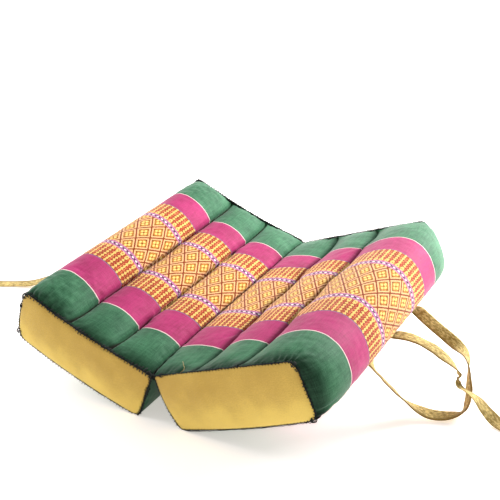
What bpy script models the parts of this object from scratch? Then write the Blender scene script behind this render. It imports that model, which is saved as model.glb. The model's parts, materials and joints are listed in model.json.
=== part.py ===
"""Foldable meditation cushion: two stuffed halves joined along a fold, lying open as a shallow V.

Units are metres and +Z is up. X runs across the fold and Y along it. The origin is on the surface
that the cushion lies on, under the middle of its outline. The cushion stands on the inner lower
edges of its two halves, so their top faces slope down to the fold and their far ends are raised.

A point of a half is written as (out, up): out is its distance from the fold along the half's top
plane, and up is its height over that plane, so the half can be worked out flat and then tilted.
"""

import math

import bmesh
import bpy
from mathutils import Vector

MM = 0.001

# Driving sizes of the body
FOLD_LENGTH = 400 * MM
FOLD_X = -8 * MM
FOLD_HEIGHT = 61 * MM
FOLD_DIP = 1.5 * MM
TUBE_ROUNDNESS = 0.75
PANEL_CORNER_SOFTNESS = 8 * MM
PANEL_CORNER_DRAW = 2.4 * MM
PANEL_BULGE = 4.5 * MM
NECK_HALF_WIDTH = 2 * MM
NECK_DEPTH = 4.5 * MM
END_ROUNDING = 55 * MM
END_ROUNDING_POWER = 2.1

# The two halves. Top and under are the lengths of the side panels' upper and lower edges, and lean
# is how far the lower inner edge has slid out. Seams are the fold and the two sewn channels; crowns
# are the heights of the two inner tubes over the straight line between the seams beside them. The
# far end bulges past the side panels to its reach, then turns in to the lower seam. The bows are
# how far the side panel's edges curve out in their middles.
LEFT = {
    "side": -1,
    "tilt": math.radians(20.0),
    "depth": 68 * MM,
    "top": 191 * MM,
    "under": 183 * MM,
    "lean": 0.5 * MM,
    "seams": ((2.5 * MM, 5.5 * MM), (59.6 * MM, -5 * MM), (121.4 * MM, -6.5 * MM)),
    "crowns": (11 * MM, 13 * MM),
    "outer_peak": (163 * MM, 14 * MM),
    "end_reach": 200 * MM,
    "lower_seam": 190 * MM,
    "top_bow": -5 * MM,
    "end_bow": 3 * MM,
    "under_bow": 4 * MM,
}
RIGHT = {
    "side": 1,
    "tilt": math.radians(22.5),
    "depth": 71.5 * MM,
    "top": 195 * MM,
    "under": 188 * MM,
    "lean": 10 * MM,
    "seams": ((2.5 * MM, 5.5 * MM), (64.4 * MM, -5.5 * MM), (129.4 * MM, -4.5 * MM)),
    "crowns": (5 * MM, 9 * MM),
    "outer_peak": (170 * MM, 9 * MM),
    "end_reach": 220 * MM,
    "lower_seam": 202 * MM,
    "top_bow": 2 * MM,
    "end_bow": 0 * MM,
    "under_bow": 3.5 * MM,
}

END_REACH_DOWN = 38 * MM
END_POWER = 2.4
UNDER_CROWN = 6.5 * MM
UNDER_SEAM_RISE = 1 * MM
NOTCH_WALL_CROWN = 4.5 * MM

# How finely the section and the length are divided
TUBE_STEPS = 8
OUTER_TUBE_STEPS = 10
END_STEPS = 8
UNDER_STEPS = 6
NOTCH_WALL_STEPS = 6
CURVE_SAMPLES = 60
STATIONS = [0, 2, 5, 9, 14, 21, 30, 40, 52, 75, 105, 140, 170]
PANEL_RINGS = ((0.06, 0.32), (0.2, 0.62), (0.42, 0.87), (0.72, 1.0))

# Side panels
PANEL_THICKNESS = 1.5 * MM
PIECE_GAP = 0.3 * MM
PANEL_RIM_SHARE = 0.2

# Tapes
TAPE_WIDTH = 16 * MM
TAPE_THICKNESS = 1.4 * MM
TAPE_STEP = 7 * MM
TAPE_ROLL_STEP = math.radians(20)
TAPE_EDGE_SHARE = 0.6

# Routes of the tapes: x from the fold, y from the front seam, height over the surface, the tape's
# roll in degrees, where 0 lies flat and 90 stands on its edge, and the share of its full width that
# is left where it curls up. All lengths in millimetres.
CARRY_LOOP_ROUTE = (
    (215, 277.5, 71.3, -4, 1.0),
    (219, 276.6, 70.6, -18, 1.0),
    (226, 272.6, 69.5, -28, 1.0),
    (240, 265, 66, -27, 1.0),
    (259, 257, 60.5, -28, 1.0),
    (277, 250, 55, -34, 1.0),
    (291, 243, 51, 0, 1.0),
    (301, 233, 47.5, 42, 0.95),
    (305.5, 225, 42.5, 78, 0.9),
    (309.5, 217, 35.5, 96, 0.95),
    (313, 209, 28, 106, 1.0),
    (316, 202, 20.5, 116, 1.0),
    (317.5, 195, 13.5, 122, 0.95),
    (318.5, 187, 9.5, 124, 0.9),
    (317, 180, 7, 140, 0.85),
    (311, 174, 5, 168, 0.9),
    (299.5, 165, 4.5, 188, 1.0),
    (286, 158.5, 5.5, 194, 1.0),
    (272, 156, 9, 182, 1.0),
    (261, 154, 14, 166, 0.95),
    (250, 151, 22, 156, 0.9),
    (239, 148, 33, 168, 0.95),
    (228, 142, 47, 176, 1.0),
    (221, 136.5, 59, 178, 1.0),
    (217.2, 134.6, 67.5, 180, 1.0),
    (215.2, 134.4, 71.3, 180, 1.0),
)
TIE_RIGHT_ROUTE = (
    (214.9, 203.6, 71.5, -2, 1.0),
    (218.5, 203.5, 72.2, -8, 1.0),
    (226, 203, 73.8, -10, 1.0),
    (238, 202, 75, -6, 1.0),
    (252, 201, 73.5, 0, 1.0),
    (267, 200.5, 69.5, -6, 1.0),
    (279, 200.5, 63.5, -6, 1.0),
    (290, 200, 57, 6, 0.9),
    (297, 200, 52, 16, 0.75),
    (301.5, 200, 47, 40, 0.6),
    (303, 200, 41.5, 90, 0.45),
    (302.5, 199.5, 35.5, 140, 0.4),
    (303.5, 198.5, 30, 180, 0.5),
    (308, 196, 27.5, 200, 0.7),
    (314.5, 192.5, 28, 206, 0.8),
    (322.5, 189, 27.5, 202, 0.9),
    (331.5, 187.5, 22.5, 186, 1.0),
    (340, 186.5, 15, 168, 1.0),
    (350, 185.5, 7, 160, 1.0),
    (362, 181, 2.5, 170, 1.0),
    (378, 175, 1.2, 180, 1.0),
    (398, 169, 1.2, 180, 1.0),
    (420, 166, 1.2, 180, 1.0),
    (442, 167, 1.2, 180, 1.0),
)
TIE_LEFT_ROUTE = (
    (-202.3, 200, 61.4, 0, 1.0),
    (-207, 200, 61.0, 1, 1.0),
    (-215, 200, 60, 4, 1.0),
    (-230, 200, 56, 8, 1.0),
    (-250, 200, 48, 10, 1.0),
    (-272, 200, 38, 12, 1.0),
    (-294, 200, 27, 14, 1.0),
    (-313, 200, 18, 14, 1.0),
    (-330, 199.5, 9.5, 10, 1.0),
    (-346, 196.5, 3.5, 5, 1.0),
    (-364, 190, 1.2, 0, 1.0),
    (-386, 179, 1.2, 0, 1.0),
    (-410, 170, 1.2, 0, 1.0),
    (-434, 165, 1.2, 0, 1.0),
    (-456, 164, 1.2, 0, 1.0),
    (-478, 167, 1.2, 0, 1.0),
)


def clear_scene():
    for old in list(bpy.data.objects):
        bpy.data.objects.remove(old, do_unlink=True)


def fabric(name, colour, roughness):
    material = bpy.data.materials.new(name)
    material.use_nodes = True
    shader = material.node_tree.nodes["Principled BSDF"]
    shader.inputs["Base Color"].default_value = (*colour, 1.0)
    shader.inputs["Roughness"].default_value = roughness
    shader.inputs["Metallic"].default_value = 0.0
    return material


def finish_object(name, shape, material):
    bmesh.ops.recalc_face_normals(shape, faces=shape.faces)
    mesh = bpy.data.meshes.new(name)
    shape.to_mesh(mesh)
    shape.free()
    mesh.shade_smooth()
    mesh.materials.append(material)
    made = bpy.data.objects.new(name, mesh)
    bpy.context.scene.collection.objects.link(made)
    return made


def mix(start, end, share):
    return tuple(a + (b - a) * share for a, b in zip(start, end))


def straight(start, end, steps):
    return [mix(start, end, step / steps) for step in range(steps)]


def bowed(start, end, bow, steps):
    """A shallow curve from start to end, bowed to the left of its way by bow in its middle."""
    across = Vector((start[1] - end[1], end[0] - start[0])).normalized() * bow
    line = []
    for step in range(steps):
        share = step / steps
        point = Vector(mix(start, end, share)) + across * math.sin(math.pi * share)
        line.append(tuple(point))
    return line


def evenly(points, steps):
    """Points at equal distances along a line of points, without its last point."""
    lengths = [0.0]
    for a, b in zip(points, points[1:]):
        lengths.append(lengths[-1] + math.dist(a, b))
    even = []
    at = 0
    for step in range(steps):
        wanted = lengths[-1] * step / steps
        while lengths[at + 1] < wanted:
            at += 1
        share = (wanted - lengths[at]) / (lengths[at + 1] - lengths[at])
        even.append(mix(points[at], points[at + 1], share))
    return even


def crowned(start, end, crown, steps):
    """A stuffed tube's arc from seam to seam: steep at the seams and round on top."""
    line = []
    along = Vector(end) - Vector(start)
    across = Vector((-along.y, along.x)).normalized()
    for sample in range(CURVE_SAMPLES + 1):
        share = sample / CURVE_SAMPLES
        lift = crown * (1 - (2 * share - 1) ** 2) ** TUBE_ROUNDNESS
        line.append(tuple(Vector(start) + along * share + across * lift))
    return evenly(line, steps)


def quarter(centre, reach, turn_from, turn_to, power):
    """Part of a superellipse round a centre, from one turn to another in degrees from the top."""
    line = []
    for sample in range(CURVE_SAMPLES + 1):
        turn = math.radians(turn_from + (turn_to - turn_from) * sample / CURVE_SAMPLES)
        out = abs(math.sin(turn)) ** (2 / power)
        up = abs(math.cos(turn)) ** (2 / power) * math.copysign(1, math.cos(turn))
        line.append((centre[0] + reach[0] * out, centre[1] + reach[1] * up))
    return line


def outer_tube(half):
    """The outer tube from its seam over the top, round the end and down to the lower seam."""
    seam = half["seams"][2]
    peak = half["outer_peak"]
    rise = []
    for sample in range(CURVE_SAMPLES):
        share = sample / CURVE_SAMPLES
        lift = (1 - (1 - share) ** 2) ** TUBE_ROUNDNESS
        rise.append((seam[0] + (peak[0] - seam[0]) * share, seam[1] + (peak[1] - seam[1]) * lift))
    centre = (peak[0], -END_REACH_DOWN)
    reach = (half["end_reach"] - peak[0], peak[1] + END_REACH_DOWN)
    shoulder = quarter(centre, reach, 0, 45, END_POWER)
    end_wall = quarter(centre, reach, 45, 90, END_POWER)
    lower_centre = (half["lower_seam"], -END_REACH_DOWN)
    lower_reach = (half["end_reach"] - half["lower_seam"], half["depth"] - END_REACH_DOWN)
    lower = quarter(lower_centre, lower_reach, 90, 180, 2)
    top = evenly(rise + shoulder, OUTER_TUBE_STEPS)
    return top + evenly(end_wall + lower[1:], END_STEPS)


def middle_section(half):
    """The half's section away from its side panels, from the fold out and back under to the notch."""
    fold, first, second = half["seams"]
    depth = half["depth"]
    lower_seam = (half["lower_seam"], -depth)
    under_second = (second[0], -depth + UNDER_SEAM_RISE)
    under_first = (first[0], -depth + UNDER_SEAM_RISE)
    inner_corner = (half["lean"], -depth)
    neck = (NECK_HALF_WIDTH, -NECK_DEPTH)
    section = crowned(fold, first, half["crowns"][0], TUBE_STEPS)
    section += crowned(first, second, half["crowns"][1], TUBE_STEPS)
    section += outer_tube(half)
    section += crowned(lower_seam, under_second, UNDER_CROWN, UNDER_STEPS)
    section += crowned(under_second, under_first, UNDER_CROWN, UNDER_STEPS)
    section += crowned(under_first, inner_corner, UNDER_CROWN, UNDER_STEPS)
    section += crowned(inner_corner, neck, NOTCH_WALL_CROWN, NOTCH_WALL_STEPS)
    section.append(neck)
    return section


def softened(point, corners, middle):
    """Draws a point of the side panel's outline in near a corner, which rounds the corner."""
    for corner in corners:
        near = 1 - math.dist(point, corner) / PANEL_CORNER_SOFTNESS
        if near > 0:
            inward = (Vector(middle) - Vector(corner)).normalized()
            point = tuple(Vector(point) + inward * PANEL_CORNER_DRAW * near ** 2)
    return point


def panel_section(half):
    """The half's section at its side panel: a flat four-sided outline with soft corners."""
    depth = half["depth"]
    top_fold = (NECK_HALF_WIDTH, 0)
    top_corner = (half["top"], 0)
    lower_corner = (half["lean"] + half["under"], -depth)
    inner_corner = (half["lean"], -depth)
    neck = (NECK_HALF_WIDTH, -NECK_DEPTH)
    outline = bowed(top_fold, top_corner, half["top_bow"], 2 * TUBE_STEPS + OUTER_TUBE_STEPS)
    outline += bowed(top_corner, lower_corner, half["end_bow"], END_STEPS)
    outline += bowed(lower_corner, inner_corner, half["under_bow"], 3 * UNDER_STEPS)
    outline += straight(inner_corner, neck, NOTCH_WALL_STEPS)
    outline.append(neck)
    middle = (half["top"] / 2, -depth / 2)
    corners = (top_corner, lower_corner, inner_corner)
    return [softened(point, corners, middle) for point in outline]


def tilted(half, point):
    """The place in the room of a point given as (out, up) on a half, as (x, z)."""
    out, up = point
    sine, cosine = math.sin(half["tilt"]), math.cos(half["tilt"])
    x = FOLD_X + half["side"] * (out * cosine - up * sine)
    return x, max(FOLD_HEIGHT + out * sine + up * cosine, 0.0)


def fullness(distance):
    """How far the section has swelled at a distance from the side panel's seam, from 0 to 1."""
    share = min(distance / END_ROUNDING, 1.0)
    return (1 - (1 - share) ** END_ROUNDING_POWER) ** (1 / END_ROUNDING_POWER)


def half_section(half, distance):
    share = fullness(distance)
    pairs = zip(panel_section(half), middle_section(half))
    return [tilted(half, mix(flat, full, share)) for flat, full in pairs]


def fold_points(distance):
    """The top of the fold's valley and the top of the notch under it."""
    seam_rise = LEFT["seams"][0][1] - FOLD_DIP
    valley = FOLD_HEIGHT + seam_rise * fullness(distance)
    return (FOLD_X, valley), (FOLD_X, FOLD_HEIGHT - NECK_DEPTH)


def station_distances():
    near = [station * MM for station in STATIONS]
    far = [FOLD_LENGTH - station for station in reversed(near)]
    return near + [FOLD_LENGTH / 2] + far


def panel_ring(half, share):
    """The side panel's outline drawn in towards the panel's middle line by a share."""
    depth = half["depth"]
    start = depth / 2 + half["lean"] / 2
    end = half["lean"] + half["under"] - depth / 2
    ring = []
    for out, up in panel_section(half):
        middle = (min(max(out, start), end), -depth / 2)
        ring.append(mix((out, up), middle, share))
    return ring


def panel_rows(half, rings):
    """Rings of (x, z) points and how far each stands proud of the side panel's seam."""
    rows = []
    for share, rise in rings:
        points = [tilted(half, point) for point in panel_ring(half, share)]
        rows.append((points, PANEL_BULGE * rise))
    return rows


def make_cushion(material):
    shape = bmesh.new()
    rings = []
    for y in station_distances():
        distance = min(y, FOLD_LENGTH - y)
        valley, notch = fold_points(distance)
        right = half_section(RIGHT, distance)
        left = half_section(LEFT, distance)
        section = [valley] + right + [notch] + left[::-1]
        rings.append([shape.verts.new((x, y - FOLD_LENGTH / 2, z)) for x, z in section])
    for near, far in zip(rings, rings[1:]):
        bridge(shape, near, far)
    for ring, outward in ((rings[0], -1), (rings[-1], 1)):
        count = (len(ring) - 2) // 2
        right = ring[1 : count + 1]
        left = ring[count + 2 :][::-1]
        shape.faces.new((ring[0], right[0], right[-1], ring[count + 1], left[-1], left[0]))
        cap_half(shape, RIGHT, right, outward)
        cap_half(shape, LEFT, left, outward)
    return finish_object("cushion", shape, material)


def bridge(shape, near, far):
    for index in range(len(near)):
        following = (index + 1) % len(near)
        shape.faces.new((near[index], near[following], far[following], far[index]))


def cap_half(shape, half, rim, outward):
    """Closes one half's open end with a low pillow, which the side panel lies on."""
    seam_y = outward * FOLD_LENGTH / 2
    previous = rim
    for points, proud in panel_rows(half, PANEL_RINGS):
        ring = [shape.verts.new((x, seam_y + outward * proud, z)) for x, z in points]
        bridge(shape, previous, ring)
        previous = ring
    shape.faces.new(previous)


def make_panel(name, half, outward, material):
    """A side panel of cotton, lying on the pillow that closes its half."""
    rim = mix((0, 0), PANEL_RINGS[0], PANEL_RIM_SHARE)
    shape = bmesh.new()
    sheets = []
    for lift in (PIECE_GAP, PIECE_GAP + PANEL_THICKNESS):
        sheet = []
        for points, proud in panel_rows(half, (rim, *PANEL_RINGS)):
            y = outward * (FOLD_LENGTH / 2 + proud + lift)
            sheet.append([shape.verts.new((x, y, z)) for x, z in points])
        for near, far in zip(sheet, sheet[1:]):
            bridge(shape, near, far)
        shape.faces.new(sheet[-1])
        sheets.append(sheet)
    bridge(shape, sheets[0][0], sheets[1][0])
    return finish_object(name, shape, material)


def smooth_route(route):
    """Rows of (centre, roll, spread) on a smooth curve through a route, a tape step or less apart."""
    rows = []
    for x, y, height, roll, spread in route:
        rows.append((x * MM + FOLD_X, y * MM - FOLD_LENGTH / 2, height * MM, math.radians(roll), spread))
    rows = [mix(rows[1], rows[0], 2)] + rows + [mix(rows[-2], rows[-1], 2)]
    smooth = []
    for before, start, end, after in zip(rows, rows[1:], rows[2:], rows[3:]):
        steps = round(math.dist(start[:3], end[:3]) / TAPE_STEP)
        steps = max(steps, round(abs(end[3] - start[3]) / TAPE_ROLL_STEP), 1)
        for step in range(steps):
            smooth.append(between(before, start, end, after, step / steps))
    smooth.append(rows[-2])
    return [(Vector(row[:3]), row[3], row[4]) for row in smooth]


def between(before, start, end, after, share):
    """The row a share of the way from start to end on a smooth curve through four rows."""
    row = []
    for a, b, c, d in zip(before, start, end, after):
        bend = (c - a) * share + (2 * a - 5 * b + 4 * c - d) * share ** 2
        bend += (3 * b - a - 3 * c + d) * share ** 3
        row.append(b + bend / 2)
    return row


def make_tape(name, route, material):
    """A flat cotton tape swept along its route, with a plain cut end."""
    rows = smooth_route(route)
    shape = bmesh.new()
    rings = []
    for index, (centre, roll, spread) in enumerate(rows):
        before = rows[max(index - 1, 0)][0]
        after = rows[min(index + 1, len(rows) - 1)][0]
        along = (after - before).normalized()
        level = along.cross(Vector((0, 0, 1))).normalized()
        across = level * math.cos(roll) + level.cross(along) * math.sin(roll)
        half_width = across * spread * TAPE_WIDTH / 2
        half_thickness = across.cross(along) * TAPE_THICKNESS / 2
        edge = half_thickness * TAPE_EDGE_SHARE
        corners = (
            half_width + edge,
            half_thickness,
            edge - half_width,
            -half_width - edge,
            -half_thickness,
            half_width - edge,
        )
        rings.append([shape.verts.new(centre + corner) for corner in corners])
    for near, far in zip(rings, rings[1:]):
        bridge(shape, near, far)
    shape.faces.new(rings[0])
    shape.faces.new(rings[-1])
    return finish_object(name, shape, material)


def main():
    clear_scene()
    cover = fabric("cover_cloth", (0.045, 0.19, 0.11), 0.55)
    side_cloth = fabric("side_cotton", (0.56, 0.42, 0.10), 0.85)
    tape_cloth = fabric("tape_cotton", (0.50, 0.38, 0.12), 0.85)
    make_cushion(cover)
    for half, side_name in ((LEFT, "left"), (RIGHT, "right")):
        for outward, end_name in ((-1, "front"), (1, "back")):
            make_panel(f"gusset_{side_name}_{end_name}", half, outward, side_cloth)
    make_tape("carry_loop", CARRY_LOOP_ROUTE, tape_cloth)
    make_tape("tie_right", TIE_RIGHT_ROUTE, tape_cloth)
    make_tape("tie_left", TIE_LEFT_ROUTE, tape_cloth)


main()
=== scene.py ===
# %% [markdown]
# # A foldable meditation cushion
# Two stuffed halves are joined along a fold and lie open in a shallow V. One woven cloth wraps both
# halves, plain gold cotton closes their open ends, and cotton tapes carry and tie it when folded.
# The CAD model gives the solids, and this script dresses them: it reads the frame first, so that
# every piece is made where its solid is.
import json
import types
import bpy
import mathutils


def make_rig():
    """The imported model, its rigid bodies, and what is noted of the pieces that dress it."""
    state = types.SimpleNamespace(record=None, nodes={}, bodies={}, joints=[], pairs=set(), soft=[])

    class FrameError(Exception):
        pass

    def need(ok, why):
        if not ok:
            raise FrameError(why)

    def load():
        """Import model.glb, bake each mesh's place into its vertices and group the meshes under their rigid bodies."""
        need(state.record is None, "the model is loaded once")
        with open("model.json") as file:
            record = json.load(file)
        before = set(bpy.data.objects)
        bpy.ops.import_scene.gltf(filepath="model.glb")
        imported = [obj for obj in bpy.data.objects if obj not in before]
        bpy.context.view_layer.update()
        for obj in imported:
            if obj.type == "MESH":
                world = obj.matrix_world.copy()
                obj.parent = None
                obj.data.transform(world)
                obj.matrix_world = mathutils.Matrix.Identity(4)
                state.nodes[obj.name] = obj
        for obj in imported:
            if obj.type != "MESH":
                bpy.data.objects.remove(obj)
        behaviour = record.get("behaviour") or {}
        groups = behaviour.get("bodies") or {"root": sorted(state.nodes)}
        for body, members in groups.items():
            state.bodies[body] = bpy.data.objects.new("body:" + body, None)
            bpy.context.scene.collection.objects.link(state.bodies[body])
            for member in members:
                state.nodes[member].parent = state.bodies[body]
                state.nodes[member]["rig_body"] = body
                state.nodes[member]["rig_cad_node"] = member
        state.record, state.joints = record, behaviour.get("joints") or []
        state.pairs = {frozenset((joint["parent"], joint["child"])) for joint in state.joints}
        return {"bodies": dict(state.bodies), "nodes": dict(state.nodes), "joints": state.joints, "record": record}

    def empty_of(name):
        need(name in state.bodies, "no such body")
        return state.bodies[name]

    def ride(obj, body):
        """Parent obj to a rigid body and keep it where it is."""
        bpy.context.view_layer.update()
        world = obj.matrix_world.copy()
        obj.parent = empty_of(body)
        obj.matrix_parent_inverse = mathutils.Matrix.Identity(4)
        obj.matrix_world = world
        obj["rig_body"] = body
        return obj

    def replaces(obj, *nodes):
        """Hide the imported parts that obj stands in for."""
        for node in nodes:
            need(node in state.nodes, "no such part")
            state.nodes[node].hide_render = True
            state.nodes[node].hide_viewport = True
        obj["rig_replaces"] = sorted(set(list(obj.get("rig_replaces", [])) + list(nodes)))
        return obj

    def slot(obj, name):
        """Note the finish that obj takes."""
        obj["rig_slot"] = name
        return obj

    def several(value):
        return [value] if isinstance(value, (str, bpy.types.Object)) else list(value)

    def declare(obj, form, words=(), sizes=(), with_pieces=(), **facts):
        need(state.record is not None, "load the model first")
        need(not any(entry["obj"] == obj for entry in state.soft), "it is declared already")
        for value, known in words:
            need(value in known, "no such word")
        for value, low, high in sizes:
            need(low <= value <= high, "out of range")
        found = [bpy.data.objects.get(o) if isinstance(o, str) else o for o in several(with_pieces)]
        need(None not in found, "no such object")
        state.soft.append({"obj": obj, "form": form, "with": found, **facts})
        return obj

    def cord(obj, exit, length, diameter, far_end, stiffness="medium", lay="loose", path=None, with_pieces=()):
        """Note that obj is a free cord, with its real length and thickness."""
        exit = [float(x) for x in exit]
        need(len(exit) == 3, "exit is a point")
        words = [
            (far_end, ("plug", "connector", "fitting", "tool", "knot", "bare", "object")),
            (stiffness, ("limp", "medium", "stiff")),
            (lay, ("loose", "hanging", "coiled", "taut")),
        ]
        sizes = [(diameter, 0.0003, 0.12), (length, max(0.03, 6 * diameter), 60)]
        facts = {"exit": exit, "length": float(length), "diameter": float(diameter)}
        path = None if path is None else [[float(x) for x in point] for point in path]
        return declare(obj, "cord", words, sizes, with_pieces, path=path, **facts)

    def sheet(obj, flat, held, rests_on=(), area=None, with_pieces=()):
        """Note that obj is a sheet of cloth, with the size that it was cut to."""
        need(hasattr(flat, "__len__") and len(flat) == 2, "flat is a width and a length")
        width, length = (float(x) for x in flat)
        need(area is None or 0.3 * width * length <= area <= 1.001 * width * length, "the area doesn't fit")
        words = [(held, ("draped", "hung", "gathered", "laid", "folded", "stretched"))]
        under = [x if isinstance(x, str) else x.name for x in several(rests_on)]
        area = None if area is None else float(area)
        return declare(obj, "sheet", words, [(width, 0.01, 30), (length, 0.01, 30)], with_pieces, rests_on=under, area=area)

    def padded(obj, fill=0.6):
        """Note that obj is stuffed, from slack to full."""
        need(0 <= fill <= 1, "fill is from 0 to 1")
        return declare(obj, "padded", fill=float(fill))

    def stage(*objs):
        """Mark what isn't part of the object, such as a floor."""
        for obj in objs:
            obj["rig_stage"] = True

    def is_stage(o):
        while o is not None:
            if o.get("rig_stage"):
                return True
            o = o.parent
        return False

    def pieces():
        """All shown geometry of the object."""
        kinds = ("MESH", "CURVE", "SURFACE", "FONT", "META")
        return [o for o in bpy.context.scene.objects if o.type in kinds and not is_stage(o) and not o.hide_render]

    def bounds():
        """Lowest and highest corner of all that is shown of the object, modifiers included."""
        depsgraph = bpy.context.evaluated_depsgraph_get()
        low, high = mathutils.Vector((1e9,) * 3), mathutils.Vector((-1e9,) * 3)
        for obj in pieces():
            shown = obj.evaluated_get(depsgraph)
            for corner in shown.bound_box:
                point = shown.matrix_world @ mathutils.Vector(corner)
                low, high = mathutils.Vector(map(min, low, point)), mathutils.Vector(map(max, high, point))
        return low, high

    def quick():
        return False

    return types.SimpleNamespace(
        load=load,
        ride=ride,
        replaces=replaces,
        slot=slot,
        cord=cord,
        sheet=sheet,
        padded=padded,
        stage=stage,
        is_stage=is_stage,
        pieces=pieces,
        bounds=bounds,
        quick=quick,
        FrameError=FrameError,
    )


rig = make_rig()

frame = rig.load()
cad_low, cad_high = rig.bounds()

import json
import math
import random

import bmesh
import bpy
import numpy as np
from mathutils import Matrix, Vector, noise

MM = 0.001
print("CAD box in metres:", [round(side, 3) for side in cad_high - cad_low])

# %% [markdown]
# ## The camera
# A photograph of a box-like thing can be matched: the long edges give the direction, the
# ratio of the near and far edges gives the distance, and the picture's middle gives the aim. The
# camera is made first, because everything after it is judged through it.

# %% Aim the camera
FOLD_X = -8 * MM
FOLD_HEIGHT = 61 * MM
PICTURE_PIXELS = 500
FOCAL_PIXELS = 1062.6
CAMERA_AZIMUTH = math.radians(28.4)
CAMERA_ELEVATION = math.radians(26.2)
CAMERA_DISTANCE = 1.3436
CAMERA_AIM = Vector((FOLD_X + 19.2 * MM, 0, FOLD_HEIGHT + 81 * MM))

camera_data = bpy.data.cameras.new("camera")
camera_data.sensor_width = 36
camera_data.lens = camera_data.sensor_width * FOCAL_PIXELS / PICTURE_PIXELS
camera = bpy.data.objects.new("camera", camera_data)
bpy.context.scene.collection.objects.link(camera)
toward_camera = Vector((
    math.sin(CAMERA_AZIMUTH) * math.cos(CAMERA_ELEVATION),
    -math.cos(CAMERA_AZIMUTH) * math.cos(CAMERA_ELEVATION),
    math.sin(CAMERA_ELEVATION),
))
camera.location = CAMERA_AIM + toward_camera * CAMERA_DISTANCE
camera.rotation_euler = toward_camera.to_track_quat("Z", "Y").to_euler()
bpy.context.scene.camera = camera
print(f"lens {camera_data.lens:.1f} mm, {CAMERA_DISTANCE:.2f} m away")

# %% [markdown]
# ## Cloth from a flat grid
# Everything here is cloth, so every piece starts as what a maker starts with: a flat cut, a grid
# of squares that knows its own flat coordinates. Each point of the grid is then moved to its place
# on the cushion. The flat coordinates stay behind as a UV map in metres, so a weave drawn on the
# UV map follows the cloth wherever it goes. Drawing the weave on room coordinates instead would let
# it slide over every bulge.

# %% A flat grid that knows its cut
def cut_cloth(columns, rows):
    """A bmesh grid with a corner at each pair of flat column and row coordinates, in metres."""
    shape = bmesh.new()
    bmesh.ops.create_grid(shape, x_segments=len(columns) - 1, y_segments=len(rows) - 1, size=0.5)
    flat = shape.loops.layers.uv.new("flat")
    for face in shape.faces:
        for corner in face.loops:
            column, row = grid_place(corner.vert, columns, rows)
            corner[flat].uv = (columns[column], rows[row])
    return shape


def grid_place(vert, columns, rows):
    """Which column and row of a fresh grid a vertex stands in."""
    column = round((vert.co.x + 0.5) * (len(columns) - 1))
    row = round((vert.co.y + 0.5) * (len(rows) - 1))
    return column, row


def lay_cloth(shape, columns, rows, place):
    """Moves each vertex of a fresh grid to place(column, row)."""
    for vert in shape.verts:
        vert.co = place(*grid_place(vert, columns, rows))


def finished(name, shape, material, smooth=True):
    """Turns a bmesh into an object of the scene."""
    mesh = bpy.data.meshes.new(name)
    shape.to_mesh(mesh)
    shape.free()
    if smooth:
        mesh.shade_smooth()
    mesh.materials.append(material)
    made = bpy.data.objects.new(name, mesh)
    bpy.context.scene.collection.objects.link(made)
    return made


def thicken(piece, thickness, offset):
    """Gives a cloth its thickness: on both sides of the grid for 0, and inside it for -1."""
    thick = piece.modifiers.new("thickness", "SOLIDIFY")
    thick.thickness = thickness
    thick.offset = offset


def smoothed(piece):
    """Subdivides a piece once, by the modifier that this returns."""
    smooth = piece.modifiers.new("smooth", "SUBSURF")
    smooth.levels = smooth.render_levels = 1
    return smooth


def lengths_along(points):
    """How far each point of a line is from the first one, along the line."""
    lengths = [0.0]
    for start, end in zip(points, points[1:]):
        lengths.append(lengths[-1] + (end - start).length)
    return lengths


def way_at(points, index):
    """The direction of a line of points at one of them."""
    return (points[min(index + 1, len(points) - 1)] - points[max(index - 1, 0)]).normalized()


def on_body(piece, slot, *nodes):
    """Lets a piece ride on the cushion, take its finish from a slot and stand for CAD nodes."""
    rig.ride(piece, "root")
    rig.slot(piece, slot)
    if nodes:
        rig.replaces(piece, *nodes)


# %% [markdown]
# ## Shader sums
# A woven pattern is arithmetic on the flat coordinates: remainders, distances and thresholds. To
# write that as plain sums, a small class wraps one socket of a node tree, and each sum or product
# of wrapped sockets adds the Math node that works it out. Colours go through Mix nodes, because a
# Math node would turn them grey.

# %% Sockets that can be added and multiplied
def math_node(operation):
    """A method of Flow that works out one operation with a Math node."""
    def work_out(self, *others):
        return self.node("ShaderNodeMath", {"operation": operation}, dict(enumerate((self, *others))))
    return work_out


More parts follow.
